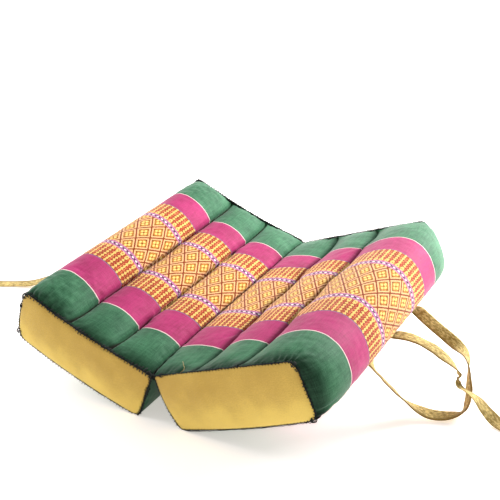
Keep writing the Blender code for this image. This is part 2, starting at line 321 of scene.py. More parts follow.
class Flow:
    """One output of a material's node tree, which sums, products and comparisons can take."""

    def __init__(self, tree, socket):
        self.tree = tree
        self.socket = socket

    def node(self, kind, settings=None, inputs=None, output=0):
        """The output of a new node, made with settings and with values or flows for its sockets."""
        made = self.tree.nodes.new(kind)
        for name, value in (settings or {}).items():
            setattr(made, name, value)
        for key, value in (inputs or {}).items():
            if isinstance(value, Flow):
                self.tree.links.new(value.socket, made.inputs[key])
            else:
                made.inputs[key].default_value = value
        return Flow(self.tree, made.outputs[output])

    __add__ = __radd__ = math_node("ADD")
    __sub__ = math_node("SUBTRACT")
    __mul__ = __rmul__ = math_node("MULTIPLY")
    __truediv__ = math_node("DIVIDE")
    __lt__ = math_node("LESS_THAN")
    __gt__ = math_node("GREATER_THAN")
    floor = math_node("FLOOR")
    fract = math_node("FRACT")
    abs = math_node("ABSOLUTE")
    sine = math_node("SINE")
    least = math_node("MINIMUM")
    most = math_node("MAXIMUM")

    def __rsub__(self, other):
        return self.node("ShaderNodeMath", {"operation": "SUBTRACT"}, {0: other, 1: self})

    def threads(self, width):
        """The same value all over each thread of a width, as a weaver counts it."""
        return (self / width).floor() * width + width / 2

    def ramp(self, low, high, start=0.0, end=1.0):
        """Runs from start to end as this goes from low to high, and stays level outside."""
        values = {0: self, 1: low, 2: high, 3: start, 4: end}
        return self.node("ShaderNodeMapRange", {"interpolation_type": "SMOOTHSTEP"}, values)

    def between(self, low, high):
        """1 where this is between two numbers, and 0 outside."""
        return (self > low) * (self < high)

    def off(self, pitch):
        """How far this is from the nearest multiple of a pitch: 0 on it and 1 halfway."""
        return ((self / pitch + 0.5).fract() - 0.5).abs() * 2

    def tint(self, under, over):
        """A colour: under where this is 0, and over where it is 1."""
        values = {0: self, 6: under, 7: over}
        return self.node("ShaderNodeMix", {"data_type": "RGBA"}, values, output=2)

    def dimmed(self, dark):
        """A colour made darker: unchanged where dark is 0, and black where it is 1."""
        return self.node("ShaderNodeVectorMath", {"operation": "SCALE"}, {0: self, "Scale": 1 - dark})

    def speckle(self, scale, detail, stretch=(1.0, 1.0, 1.0)):
        """Noise on the flat coordinates, at a scale in patches for each metre."""
        where = self.node("ShaderNodeUVMap", {"uv_map": "flat"})
        moved = self.node("ShaderNodeVectorMath", {"operation": "MULTIPLY"}, {0: where, 1: stretch})
        return self.node("ShaderNodeTexNoise", {}, {"Vector": moved, "Scale": scale, "Detail": detail})


def colour(red, green, blue):
    """A colour from the 0 to 255 numbers that a picture shows, as the linear values of a shader."""
    channels = []
    for channel in (red, green, blue):
        share = channel / 255
        channels.append(share / 12.92 if share <= 0.04045 else ((share + 0.055) / 1.055) ** 2.4)
    return (*channels, 1.0)


def new_material(name, roughness, sheen):
    """A material with a Principled shader, its shader node, and flat coordinates in millimetres."""
    material = bpy.data.materials.new(name)
    material.use_nodes = True
    tree = material.node_tree
    shader = tree.nodes["Principled BSDF"]
    shader.inputs["Roughness"].default_value = roughness
    shader.inputs["Metallic"].default_value = 0.0
    shader.inputs["Sheen Weight"].default_value = sheen
    shader.inputs["Sheen Roughness"].default_value = 0.4
    where = tree.nodes.new("ShaderNodeUVMap")
    where.uv_map = "flat"
    split = tree.nodes.new("ShaderNodeSeparateXYZ")
    tree.links.new(where.outputs[0], split.inputs[0])
    across = Flow(tree, split.outputs[0]) * 1000
    along = Flow(tree, split.outputs[1]) * 1000
    return material, shader, across, along


def set_surface(material, shader, base, height, height_mm, roughness=None):
    """Joins a colour, a bump height from 0 to 1 and a roughness to a material's shader."""
    tree = material.node_tree
    tree.links.new(base.socket, shader.inputs["Base Color"])
    if roughness is not None:
        tree.links.new(roughness.socket, shader.inputs["Roughness"])
    values = {"Height": height, "Strength": 1.0, "Distance": height_mm * MM}
    bump = height.node("ShaderNodeBump", {}, values)
    tree.links.new(bump.socket, shader.inputs["Normal"])


# %% [markdown]
# ## The tapes
# The carrying loop and the two ties are cotton tapes 16 mm wide, each a strip folded in two along
# its length and stitched at the open edge. Their routes are the ones that the CAD model has, so
# that the tapes lie in their solids: each row gives a point, how far the tape has rolled over, and
# how much of its width is left where it curls up. A smooth curve runs through the rows.

# %% Routes of the tapes, in millimetres from the fold and the front seam
CLOTH_LENGTH = 400
FOLD_LENGTH = CLOTH_LENGTH * MM
STRIP_WIDTH = 32
TAPE_WIDTH = STRIP_WIDTH / 2 * MM
CARRY_LOOP_ROUTE = (
    (215, 277.5, 71.3, -4, 1.0),
    (219, 276.6, 70.6, -18, 1.0),
    (226, 272.6, 69.5, -28, 1.0),
    (240, 265, 66, -27, 1.0),
    (259, 257, 60.5, -28, 1.0),
    (277, 250, 55, -34, 1.0),
    (291, 243, 51, 0, 1.0),
    (301, 233, 47.5, 42, 0.95),
    (305.5, 225, 42.5, 78, 0.9),
    (309.5, 217, 35.5, 96, 0.95),
    (313, 209, 28, 106, 1.0),
    (316, 202, 20.5, 116, 1.0),
    (317.5, 195, 13.5, 122, 0.95),
    (318.5, 187, 9.5, 124, 0.9),
    (317, 180, 7, 140, 0.85),
    (311, 174, 5, 168, 0.9),
    (299.5, 165, 4.5, 188, 1.0),
    (286, 158.5, 5.5, 194, 1.0),
    (272, 156, 9, 182, 1.0),
    (261, 154, 14, 166, 0.95),
    (250, 151, 22, 156, 0.9),
    (239, 148, 33, 168, 0.95),
    (228, 142, 47, 176, 1.0),
    (221, 136.5, 59, 178, 1.0),
    (217.2, 134.6, 67.5, 180, 1.0),
    (215.2, 134.4, 71.3, 180, 1.0),
)
TIE_RIGHT_ROUTE = (
    (214.9, 203.6, 71.5, -2, 1.0),
    (218.5, 203.5, 72.2, -8, 1.0),
    (226, 203, 73.8, -10, 1.0),
    (238, 202, 75, -6, 1.0),
    (252, 201, 73.5, 0, 1.0),
    (267, 200.5, 69.5, -6, 1.0),
    (279, 200.5, 63.5, -6, 1.0),
    (290, 200, 57, 6, 0.9),
    (297, 200, 52, 16, 0.75),
    (301.5, 200, 47, 40, 0.6),
    (303, 200, 41.5, 90, 0.45),
    (302.5, 199.5, 35.5, 140, 0.4),
    (303.5, 198.5, 30, 180, 0.5),
    (308, 196, 27.5, 200, 0.7),
    (314.5, 192.5, 28, 206, 0.8),
    (322.5, 189, 27.5, 202, 0.9),
    (331.5, 187.5, 22.5, 186, 1.0),
    (340, 186.5, 15, 168, 1.0),
    (350, 185.5, 7, 160, 1.0),
    (362, 181, 2.5, 170, 1.0),
    (378, 175, 1.2, 180, 1.0),
    (398, 169, 1.2, 180, 1.0),
    (420, 166, 1.2, 180, 1.0),
    (442, 167, 1.2, 180, 1.0),
)
TIE_LEFT_ROUTE = (
    (-202.3, 200, 61.4, 0, 1.0),
    (-207, 200, 61.0, 1, 1.0),
    (-215, 200, 60, 4, 1.0),
    (-230, 200, 56, 8, 1.0),
    (-250, 200, 48, 10, 1.0),
    (-272, 200, 38, 12, 1.0),
    (-294, 200, 27, 14, 1.0),
    (-313, 200, 18, 14, 1.0),
    (-330, 199.5, 9.5, 10, 1.0),
    (-346, 196.5, 3.5, 5, 1.0),
    (-364, 190, 1.2, 0, 1.0),
    (-386, 179, 1.2, 0, 1.0),
    (-410, 170, 1.2, 0, 1.0),
    (-434, 165, 1.2, 0, 1.0),
    (-456, 164, 1.2, 0, 1.0),
    (-478, 167, 1.2, 0, 1.0),
)


# %% A smooth curve through a route
def mix(start, end, share):
    return tuple(a + (b - a) * share for a, b in zip(start, end))


def between_rows(before, start, end, after, share):
    """The row a share of the way from start to end on a smooth curve through four rows."""
    row = []
    for a, b, c, d in zip(before, start, end, after):
        bend = (c - a) * share + (2 * a - 5 * b + 4 * c - d) * share**2
        bend += (3 * b - a - 3 * c + d) * share**3
        row.append(b + bend / 2)
    return row


def smooth_route(route, step):
    """(centre, roll in radians, share of the width) along a route, about a step apart."""
    rows = []
    for x, y, height, roll, spread in route:
        centre = (x * MM + FOLD_X, y * MM - FOLD_LENGTH / 2, height * MM)
        rows.append((*centre, math.radians(roll), spread))
    rows = [mix(rows[1], rows[0], 2)] + rows + [mix(rows[-2], rows[-1], 2)]
    smooth = []
    for before, start, end, after in zip(rows, rows[1:], rows[2:], rows[3:]):
        steps = max(round(math.dist(start[:3], end[:3]) / step), 1)
        smooth += [between_rows(before, start, end, after, n / steps) for n in range(steps)]
    smooth.append(rows[-2])
    return [(Vector(row[:3]), row[3], row[4]) for row in smooth]


# %% [markdown]
# A tape is swept along its route. Its section isn't a plain rectangle: the strip comes up one side,
# turns at the folded edge and goes back, so the two layers part a little at the open edge, as the
# photograph shows on the tie. A curve object with a bevel would give a round cord, so the tape is
# a flat grid again, folded round a thin lens.

# %% Cotton for the tapes and sides
def cotton(name, light, dark, thread_mm, relief_mm, pale=None, width=None):
    """Plain-woven cotton: threads over and under each other, uneven in colour.

    pale gives the two places along, in millimetres, between which it grows paler, as painted light
    thrown up by the floor. A cotton with a width has painted shade at its two raw edges and is streaked
    along its length."""
    material, shader, across, along = new_material(name, 0.85, sheen=0.25)
    over = (across * (2 * math.pi / thread_mm)).sine()
    under = (along * (2 * math.pi / thread_mm)).sine()
    weave = over * under * 0.5 + 0.5
    patches = across.speckle(30, 3.0)
    flecks = across.speckle(700, 1.0)
    mottle_and_painted_light = patches * 0.55 + flecks * 0.35 + weave * 0.2
    # Painted light: paler between the two places.
    if pale:
        mottle_and_painted_light = mottle_and_painted_light + along.ramp(*pale, -0.1, 0.35)
    if width:
        streaks = across.speckle(480, 3.0, (1.0, 0.4, 1.0)).ramp(0.3, 0.7, -0.2, 0.2)
        # Painted shade at the two raw edges.
        mottle_and_painted_light = mottle_and_painted_light + streaks - across.off(width).ramp(0.04, 0.22, 0.45, 0.0)
    shade = mottle_and_painted_light.ramp(0.3, 0.95)
    set_surface(material, shader, shade.tint(dark, light), weave * 0.6 + flecks * 0.4, relief_mm)
    return material


TAPE_LIGHT, TAPE_DARK = colour(252, 226, 142), colour(158, 128, 58)
# The tape's cotton has painted shade at its raw edges.
tape_cotton = cotton("tape_cotton", TAPE_LIGHT, TAPE_DARK, 0.9, 0.3, width=STRIP_WIDTH)

# %% Sweep the tapes
TAPE_STEP = 1.8 * MM
TAPE_LAYER_GAP = 0.45 * MM
TAPE_LAYER = 0.45 * MM
TAPE_CLOSING = 0.7
TAPE_WAVE, TAPE_WAVE_SCALE = 0.35, 60
TAPE_SHARES = [n / 9 for n in range(10)]


def tape_section(spread):
    """(across, lift) of a folded strip's middle line, from its open edge round and back."""
    half = spread * TAPE_WIDTH / 2 - TAPE_LAYER / 2
    lower = []
    for share in TAPE_SHARES:
        lower.append((half - 2 * half * share, -TAPE_LAYER_GAP * (1 - TAPE_CLOSING * share**4)))
    return lower + [(across, -lift) for across, lift in reversed(lower)]


def make_tape(name, route):
    """A folded tape along its route, and the middle line that it follows."""
    rows = smooth_route(route, TAPE_STEP)
    centres = [centre for centre, _, _ in rows]
    lengths = lengths_along(centres)
    columns = [TAPE_WIDTH * 2 * n / (2 * len(TAPE_SHARES) - 1) for n in range(2 * len(TAPE_SHARES))]
    shape = cut_cloth(columns, lengths)
    sides = []
    for index, (centre, roll, spread) in enumerate(rows):
        along = way_at(centres, index)
        level = along.cross(Vector((0, 0, 1))).normalized()
        across = level * math.cos(roll) + level.cross(along) * math.sin(roll)
        sides.append((centre, across, across.cross(along), tape_section(spread)))

    def place(column, row):
        centre, across, up, section = sides[row]
        out, lift = section[column]
        wave = noise.noise(centre * TAPE_WAVE_SCALE) * TAPE_WAVE * MM
        return centre + across * out + up * (lift + wave)

    lay_cloth(shape, columns, lengths, place)
    piece = finished(name, shape, tape_cotton)
    thicken(piece, TAPE_LAYER, 0)
    return piece, centres, lengths[-1]


TAPES = (
    ("carry_loop", CARRY_LOOP_ROUTE, "object"),
    ("tie_right", TIE_RIGHT_ROUTE, "bare"),
    ("tie_left", TIE_LEFT_ROUTE, "bare"),
)
for tape_name, route, far_end in TAPES:
    tape, path, length = make_tape(tape_name + "_tape", route)
    on_body(tape, "tape_cotton", tape_name)
    lay = "hanging" if far_end == "object" else "loose"
    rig.cord(tape, exit=path[0], length=length, diameter=TAPE_WIDTH, far_end=far_end,
            stiffness="limp", lay=lay, path=path)
    print(f"{tape_name}: {length * 1000:.0f} mm of tape")

# %% [markdown]
# ## The shape of a half
# Each half is a brick of kapok quilted into three tubes. Its section is worked out flat, as (out,
# up): out is the distance from the fold along the top, and up is the height over it. The section
# changes along the cushion: at the side panel it is the panel's own outline, and it swells within
# a few centimetres to the full round tubes. The CAD model has the same sizes, so the cloth lies on
# its solid.

# %% Driving sizes of the two halves
LEFT = {
    "side": -1,
    "tilt": math.radians(20.0),
    "depth": 68 * MM,
    "top": 191 * MM,
    "under": 183 * MM,
    "lean": 0.5 * MM,
    "seams": ((2.5 * MM, 5.5 * MM), (59.6 * MM, -5 * MM), (121.4 * MM, -6.5 * MM)),
    "crowns": (11 * MM, 13 * MM),
    "outer_peak": (163 * MM, 14 * MM),
    "end_reach": 200 * MM,
    "lower_seam": 190 * MM,
    "top_bow": -5 * MM,
    "end_bow": 3 * MM,
    "under_bow": 4 * MM,
    "notch_bow": 0 * MM,
    "panel_seams": (64 * MM, 125 * MM),
}
RIGHT = {
    "side": 1,
    "tilt": math.radians(22.5),
    "depth": 71.5 * MM,
    "top": 195 * MM,
    "under": 188 * MM,
    "lean": 10 * MM,
    "seams": ((2.5 * MM, 5.5 * MM), (64.4 * MM, -5.5 * MM), (129.4 * MM, -4.5 * MM)),
    "crowns": (6 * MM, 11 * MM),
    "outer_peak": (170 * MM, 9 * MM),
    "end_reach": 220 * MM,
    "lower_seam": 202 * MM,
    "top_bow": 0.2 * MM,
    "end_bow": 0 * MM,
    "under_bow": 3.5 * MM,
    "notch_bow": 4 * MM,
    "panel_seams": (54 * MM, 119 * MM),
}
NECK = (2 * MM, -4.5 * MM)
FOLD_DIP = 1.5 * MM
TUBE_ROUNDNESS = 0.75
OUTER_CORNER = (13 * MM, 4.2 * MM)
INNER_CORNER = (5 * MM, 1.2 * MM)
PANEL_BULGE = 4.5 * MM
END_ROUNDING = 55 * MM
END_ROUNDING_POWER = 2.1
END_REACH_DOWN = 38 * MM
END_POWER = 2.4
UNDER_CROWN = 6.5 * MM
UNDER_SEAM_RISE = 1 * MM
NOTCH_WALL_CROWN = 4.5 * MM
TUBE_STEPS = 18
OUTER_STEPS = 22
END_STEPS = 19
UNDER_STEPS = 7
NOTCH_STEPS = 9
CURVE_SAMPLES = 80


# %% Curves of the section
def evenly(points, steps):
    """Points at equal distances along a line of points, without its last point."""
    line = np.array(points)
    lengths = np.concatenate([[0], np.cumsum(np.linalg.norm(np.diff(line, axis=0), axis=1))])
    wanted = lengths[-1] * np.arange(steps) / steps
    apart = [np.interp(wanted, lengths, line[:, n]) for n in (0, 1)]
    return [tuple(point) for point in np.stack(apart, 1)]


def steps_between(stops, counts):
    """Evenly spaced numbers from stop to stop, with a count of steps to each, without the last."""
    numbers = []
    for start, end, count in zip(stops, stops[1:], counts):
        numbers += [start + (end - start) * step / count for step in range(count)]
    return numbers


def bowed(start, end, bow, shares):
    """A shallow curve from start to end, bowed to the left of its way by bow in its middle."""
    across = Vector((start[1] - end[1], end[0] - start[0])).normalized() * bow
    line = []
    for share in shares:
        line.append(tuple(Vector(mix(start, end, share)) + across * math.sin(math.pi * share)))
    return line


def crowned(start, end, crown, steps):
    """A stuffed tube's arc from seam to seam: steep at the seams and round on top."""
    along = Vector(end) - Vector(start)
    across = Vector((-along.y, along.x)).normalized()
    line = []
    for sample in range(CURVE_SAMPLES + 1):
        share = sample / CURVE_SAMPLES
        lift = crown * (1 - (2 * share - 1) ** 2) ** TUBE_ROUNDNESS
        line.append(tuple(Vector(start) + along * share + across * lift))
    return evenly(line, steps)


def quarter(centre, reach, turn_from, turn_to, power):
    """Part of a superellipse round a centre, from one turn to another in degrees from the top."""
    line = []
    for sample in range(CURVE_SAMPLES + 1):
        turn = math.radians(turn_from + (turn_to - turn_from) * sample / CURVE_SAMPLES)
        out = abs(math.sin(turn)) ** (2 / power)
        up = abs(math.cos(turn)) ** (2 / power) * math.copysign(1, math.cos(turn))
        line.append((centre[0] + reach[0] * out, centre[1] + reach[1] * up))
    return line


def outer_tube(half):
    """The outer tube from its seam over the top, round the end and down to the lower seam."""
    seam = half["seams"][2]
    peak = half["outer_peak"]
    rise = []
    for sample in range(CURVE_SAMPLES):
        share = sample / CURVE_SAMPLES
        lift = (1 - (1 - share) ** 2) ** TUBE_ROUNDNESS
        rise.append((seam[0] + (peak[0] - seam[0]) * share, seam[1] + (peak[1] - seam[1]) * lift))
    centre = (peak[0], -END_REACH_DOWN)
    reach = (half["end_reach"] - peak[0], peak[1] + END_REACH_DOWN)
    end_wall = quarter(centre, reach, 45, 90, END_POWER)
    lower_centre = (half["lower_seam"], -END_REACH_DOWN)
    lower_reach = (half["end_reach"] - half["lower_seam"], half["depth"] - END_REACH_DOWN)
    lower = quarter(lower_centre, lower_reach, 90, 180, 2)
    top = evenly(rise + quarter(centre, reach, 0, 45, END_POWER), OUTER_STEPS)
    return top + evenly(end_wall + lower[1:], END_STEPS)


def middle_section(half):
    """The half's section away from its side panels, from the fold out and back under to the notch."""
    fold, first, second = half["seams"]
    depth = half["depth"]
    under_seams = [(place[0], -depth + UNDER_SEAM_RISE) for place in (second, first)]
    stops = [(half["lower_seam"], -depth), *under_seams, (half["lean"], -depth)]
    section = crowned(fold, first, half["crowns"][0], TUBE_STEPS)
    section += crowned(first, second, half["crowns"][1], TUBE_STEPS)
    section += outer_tube(half)
    for start, end in zip(stops, stops[1:]):
        section += crowned(start, end, UNDER_CROWN, UNDER_STEPS)
    section += crowned(stops[-1], NECK, NOTCH_WALL_CROWN, NOTCH_STEPS)
    return section + [NECK]


def panel_section(half):
    """The half's section at its side panel: a flat four-sided outline with soft corners."""
    top_fold, top_corner = (NECK[0], 0), (half["top"], 0)
    lower_corner = (half["lean"] + half["under"], -half["depth"])
    inner_corner = (half["lean"], -half["depth"])
    seams = [0, *(seam / half["top"] for seam in half["panel_seams"]), 1]
    top = steps_between(seams, (TUBE_STEPS, TUBE_STEPS, OUTER_STEPS))
    outline = bowed(top_fold, top_corner, half["top_bow"], top)
    outline += bowed(top_corner, lower_corner, half["end_bow"], steps_between((0, 1), (END_STEPS,)))
    under = steps_between((0, 1), (3 * UNDER_STEPS,))
    outline += bowed(lower_corner, inner_corner, half["under_bow"], under)
    outline += bowed(inner_corner, NECK, half["notch_bow"], steps_between((0, 1), (NOTCH_STEPS,)))
    outline.append(NECK)
    middle = Vector((half["top"] / 2, -half["depth"] / 2))
    corners = ((top_corner, OUTER_CORNER), (lower_corner, OUTER_CORNER), (inner_corner, INNER_CORNER))
    return [softened(point, corners, middle) for point in outline]


def softened(point, corners, middle):
    """Draws a point of the side panel's outline in near a corner, which rounds the corner."""
    for corner, (reach, draw) in corners:
        near = 1 - math.dist(point, corner) / reach
        if near > 0:
            inward = (middle - Vector(corner)).normalized()
            point = tuple(Vector(point) + inward * draw * near**2)
    return point


def tilted(half, point):
    """The place in the room, as (x, z), of a point given as (out, up) on a half."""
    out, up = point
    sine, cosine = math.sin(half["tilt"]), math.cos(half["tilt"])
    x = FOLD_X + half["side"] * (out * cosine - up * sine)
    return x, max(FOLD_HEIGHT + out * sine + up * cosine, 0.0)


def fullness(distance):
    """How far the section has swelled at a distance from the side panel's seam, from 0 to 1."""
    share = min(distance / END_ROUNDING, 1.0)
    return (1 - (1 - share) ** END_ROUNDING_POWER) ** (1 / END_ROUNDING_POWER)


# %% [markdown]
# ## The cover
# The cover is one strip of cloth: from the notch under the fold, round the left half, over the fold
# and round the right half back to the notch. Its columns are counted round the section and its
# rows along the fold. The column coordinate is the length of cloth from the fold, so the woven
# bands run true across every tube.

# %% Columns and rows of the cover
SECTIONS = {half["side"]: (panel_section(half), middle_section(half)) for half in (LEFT, RIGHT)}
HALF_COLUMNS = len(SECTIONS[1][0])
VALLEY = HALF_COLUMNS + 1
COVER_ROW = 3.9 * MM
COVER_END_ROWS = [0, 0.8, 2, 3.8, 6, 8.8, 12]


def cover_columns():
    """Flat cloth lengths from the fold at each column, less than 0 on the left half."""
    columns = [0.0] * (2 * HALF_COLUMNS + 3)
    for side in (-1, 1):
        middle = SECTIONS[side][1]
        length = math.dist(middle[0], (0, middle[0][1] - FOLD_DIP))
        for count, point in enumerate(middle):
            if count:
                length += math.dist(point, middle[count - 1])
            columns[VALLEY + side * (count + 1)] = side * length
        columns[VALLEY + side * (HALF_COLUMNS + 1)] = side * (length + NECK[0])
    return columns


def cover_rows():
    """Distances from the front seam, closer together near both side panels."""
    near = [row * MM for row in COVER_END_ROWS]
    inner = FOLD_LENGTH - 2 * near[-1]
    count = round(inner / COVER_ROW)
    middle = [near[-1] + inner * n / count for n in range(1, count)]
    return near + middle + [FOLD_LENGTH - row for row in reversed(near)]


def cover_place(column, row):
    y = ROWS[row]
    full = fullness(min(y, FOLD_LENGTH - y))
    count = abs(column - VALLEY) - 1
    if count < 0:
        x, z = FOLD_X, FOLD_HEIGHT + full * (LEFT["seams"][0][1] - FOLD_DIP)
    elif count == HALF_COLUMNS:
        x, z = FOLD_X, FOLD_HEIGHT + NECK[1]
    else:
        half = RIGHT if column > VALLEY else LEFT
        flat, round_ = (section[count] for section in SECTIONS[half["side"]])
        x, z = tilted(half, mix(flat, round_, full))
    return Vector((x, y - FOLD_LENGTH / 2, z))


COLUMNS = cover_columns()
ROWS = cover_rows()
END_SEAM_ROWS = (0, len(ROWS) - 1)
SEAM_STOPS = (
    0,
    TUBE_STEPS,
    2 * TUBE_STEPS,
    2 * TUBE_STEPS + OUTER_STEPS + END_STEPS,
    2 * TUBE_STEPS + OUTER_STEPS + END_STEPS + UNDER_STEPS,
    2 * TUBE_STEPS + OUTER_STEPS + END_STEPS + 2 * UNDER_STEPS,
    HALF_COLUMNS - 1,
)
SEAM_COLUMNS = [VALLEY, 0, len(COLUMNS) - 1]
for stop in SEAM_STOPS:
    SEAM_COLUMNS += [VALLEY + stop + 1, VALLEY - stop - 1]
CHANNELS = [COLUMNS[VALLEY + side * (stop + 1)] * 1000 for side in (-1, 1) for stop in SEAM_STOPS[1:6]]
print("seams at", [round(COLUMNS[column] * 1000) for column in sorted(SEAM_COLUMNS)])
cover_shape = cut_cloth(COLUMNS, ROWS)
print(f"cover: {len(COLUMNS)} columns by {len(ROWS)} rows, {COLUMNS[-1] - COLUMNS[0]:.2f} m round")

# %% [markdown]
# ## The woven cloth
# The cloth is woven in bands that run across the fold, mirrored about the middle: plain green,
# a white line, pink, a band of leafy stems, a lilac ribbon of dots and, in the middle, a gold
# lattice of diamonds. Each band is a few sums on the flat coordinates, counted in threads about
# 0.9 mm wide, and the sums of the bands are laid over each other from the seam to the middle.

# %% Weave the bands
GREEN_DARK, GREEN_LIGHT = colour(24, 73, 47), colour(71, 130, 92)
PINK_DARK, PINK_LIGHT = colour(138, 24, 74), colour(187, 42, 112)
WHITE_LINE = colour(232, 204, 200)
BLUE_LINE = colour(116, 102, 136)
LEAF_GROUND = colour(182, 62, 38)
LEAF_SHADE = colour(104, 34, 4)
LEAF_YELLOW = colour(248, 200, 112)
LADDER_PINK = colour(226, 140, 88)
LILAC = colour(190, 118, 164)
DOT_WHITE = colour(246, 236, 236)
DOT_PURPLE = colour(50, 14, 46)
GOLD = colour(196, 130, 48)
GOLD_BRIGHT = colour(250, 214, 122)
GOLD_PALE = colour(248, 190, 134)
GOLD_BROWN = colour(120, 60, 2)
GOLD_RED = colour(128, 44, 8)
SHADOW = colour(40, 20, 8)
THREAD = 0.9
WHITE_EDGE, PINK_EDGE, LEAF_EDGE, RIBBON_EDGE, LATTICE_EDGE = 59.5, 60.9, 110.6, 147.8, 157.8
LATTICE_MIDDLE = 203.7
DIAMOND_WIDTH, DIAMOND_LENGTH = 22.8, 38.6
DIAMOND_SHIFT = 9.6
STEM_PITCH = 7.5
LEAF_PITCH = 5.6
BUD_PLACE = 33.4
DOT_PITCH = 7.0
BLUE_LINE_WIDTH = 1.2
BAND_WANDER = 3.0
BACK_LEAF_EDGE, BACK_STRETCH, BACK_TAKEN_UP = 109.9, 1.22, 2.8


def lattice(across, middle):
    """Colour and height of the diamonds, from the flat place across and from the middle line."""
    column = (across + DIAMOND_SHIFT) / DIAMOND_WIDTH + 0.5
    right = (column + middle / DIAMOND_LENGTH).off(1.0)
    left = (column - middle / DIAMOND_LENGTH).off(1.0)
    ring = right.most(left)
    corner = right.least(left).ramp(0.2, 0.5, 0.35, 1.0)
    lobe_right, lobe_left = right - 0.25, left - 0.25
    lobes = (lobe_right * lobe_right + lobe_left * lobe_left) < 0.035
    tone = lobes.tint(GOLD, GOLD_BRIGHT)
    tone = (right + left < 0.14).tint(tone, GOLD_BROWN)
    tone = (ring.between(0.52, 0.66) * corner).tint(tone, GOLD_BROWN)
    tone = ring.between(0.7, 0.88).tint(tone, GOLD_PALE)
    tone = (ring > 0.9).tint(tone, GOLD_RED)
    return tone, lobes * 0.5 + ring.between(0.68, 0.9) * 0.6


def leaf_stems(across, into):
    """Stems of leaf pairs that run from the pink, at 0, to a bud at the ribbon."""
    beside = across.off(STEM_PITCH)
    leaf = ((into / LEAF_PITCH + beside * 0.3).fract() - 0.5).abs() * 2
    edge = leaf * 0.75 + beside * 0.95
    from_bud = into - BUD_PLACE
    bud = beside * beside * 14 + from_bud * from_bud
    yellow = (edge < 0.66).most(beside < 0.14).most(bud < 8.0)
    ladder = (beside > 0.84) * (into.off(3.1) < 0.5)
    tone = ladder.tint(LEAF_GROUND, LADDER_PINK)
    tone = (beside < 0.8).tint(tone, LEAF_SHADE)
    tone = edge.between(0.95, 1.3).tint(tone, LEAF_GROUND)
    tone = yellow.tint(tone, LEAF_YELLOW)
    return (bud < 0.9).tint(tone, LEAF_SHADE), yellow


def ribbon(across, into):
    """White dots and dark crosses by turns on lilac, with plain edges."""
    beside = across.off(DOT_PITCH)
    level = (into - 5.0).abs()
    dot = (beside * beside * 3.4 + level * level / 2.2) < 1.0
    cross = (1 - beside) * 3.2 - level
    dark = (cross.abs() < 0.95) * (level < 2.3)
    return dot.tint(dark.tint(LILAC, DOT_PURPLE), DOT_WHITE)


def seam_distance(along, wander):
    """Distance from the seam as the bands count it: the back seam took up more of the green."""
    front = along + wander
    back = CLOTH_LENGTH - along - wander
    stretched = (back - BACK_LEAF_EDGE) * BACK_STRETCH + LEAF_EDGE
    return front.least(stretched.least(back + BACK_TAKEN_UP))


def from_channel(across):
    """Distance from the nearest channel's stitching."""
    away = across.abs()
    for channel in CHANNELS:
        away = away.least((across - channel).abs())
    return away


# %% Where shade is painted on the cloth and where it is matt, as low, high and the values there, in millimetres
SHADE_WIDER_AT_FRONT = (8, 26, 2.6, 1.0)
STITCH_SHADE_LINE = (0.5, 1.9, 1.0, 0.0)
STITCH_SHADE_AT_BACK = (376, 394, 1.0, 0.25)
PUCKERS_REACH = (1.0, 8.0, 1.0, 0.0)
SLOPE_REACH = (1.0, 9.0, 1.0, 0.0)
SLOPE_BY_HALF = (-10, 40, 0.28, 0.6)
FRONT_SHADE = (1, 22, 0.55, 0.0)
FRONT_SHADE_BY_HALF = (-10, 40, 1.0, 1.5)
MATT_REACH = (2.0, 12.0, 0.3, 0.0)
SLOPE_SHIFT = 2.5


def silk_tone(across, grain):
    """How light a plain band is: streaks and slubs of its threads, large patches and grain."""
    streaks = across.speckle(1300, 3.0, (0.05, 1.0, 1.0))
    slubs = across.speckle(420, 2.0, (1.0, 0.12, 1.0))
    patches = across.speckle(26, 3.0)
    return (streaks * 0.4 + slubs * 0.3 + patches * 0.4 + grain * 0.4).ramp(0.5, 1.0), streaks


def sewn_shade(across, along, from_stitches, figured, puckers):
    """Painted shadow in the stitching's crease, and painted shade beside it, at the front, in puckers and the notch.
    """
    # The dark line at the stitching is partly the stitching and partly painted shadow in its crease, wider near the
    # front seam.
    stitch_and_shade = (from_stitches / along.ramp(*SHADE_WIDER_AT_FRONT)).ramp(*STITCH_SHADE_LINE)
    stitch_and_shade = stitch_and_shade * (0.85 - figured * 0.65) * along.ramp(*STITCH_SHADE_AT_BACK)
    # Painted shade on the slope beside each channel, stronger on the right half.
    slope = from_channel(across + SLOPE_SHIFT).ramp(*SLOPE_REACH) * across.ramp(*SLOPE_BY_HALF)
    # Painted shade near the front seam, stronger on the right half.
    ends = along.ramp(*FRONT_SHADE) * across.ramp(*FRONT_SHADE_BY_HALF)
    # Painted shade deep in the notch.
    notch = (across < CHANNELS[4]).most(across > CHANNELS[9])
    dark = (slope + ends * 0.8).least(0.85).most(puckers * 0.6).most(notch * 0.4)
    return stitch_and_shade, dark


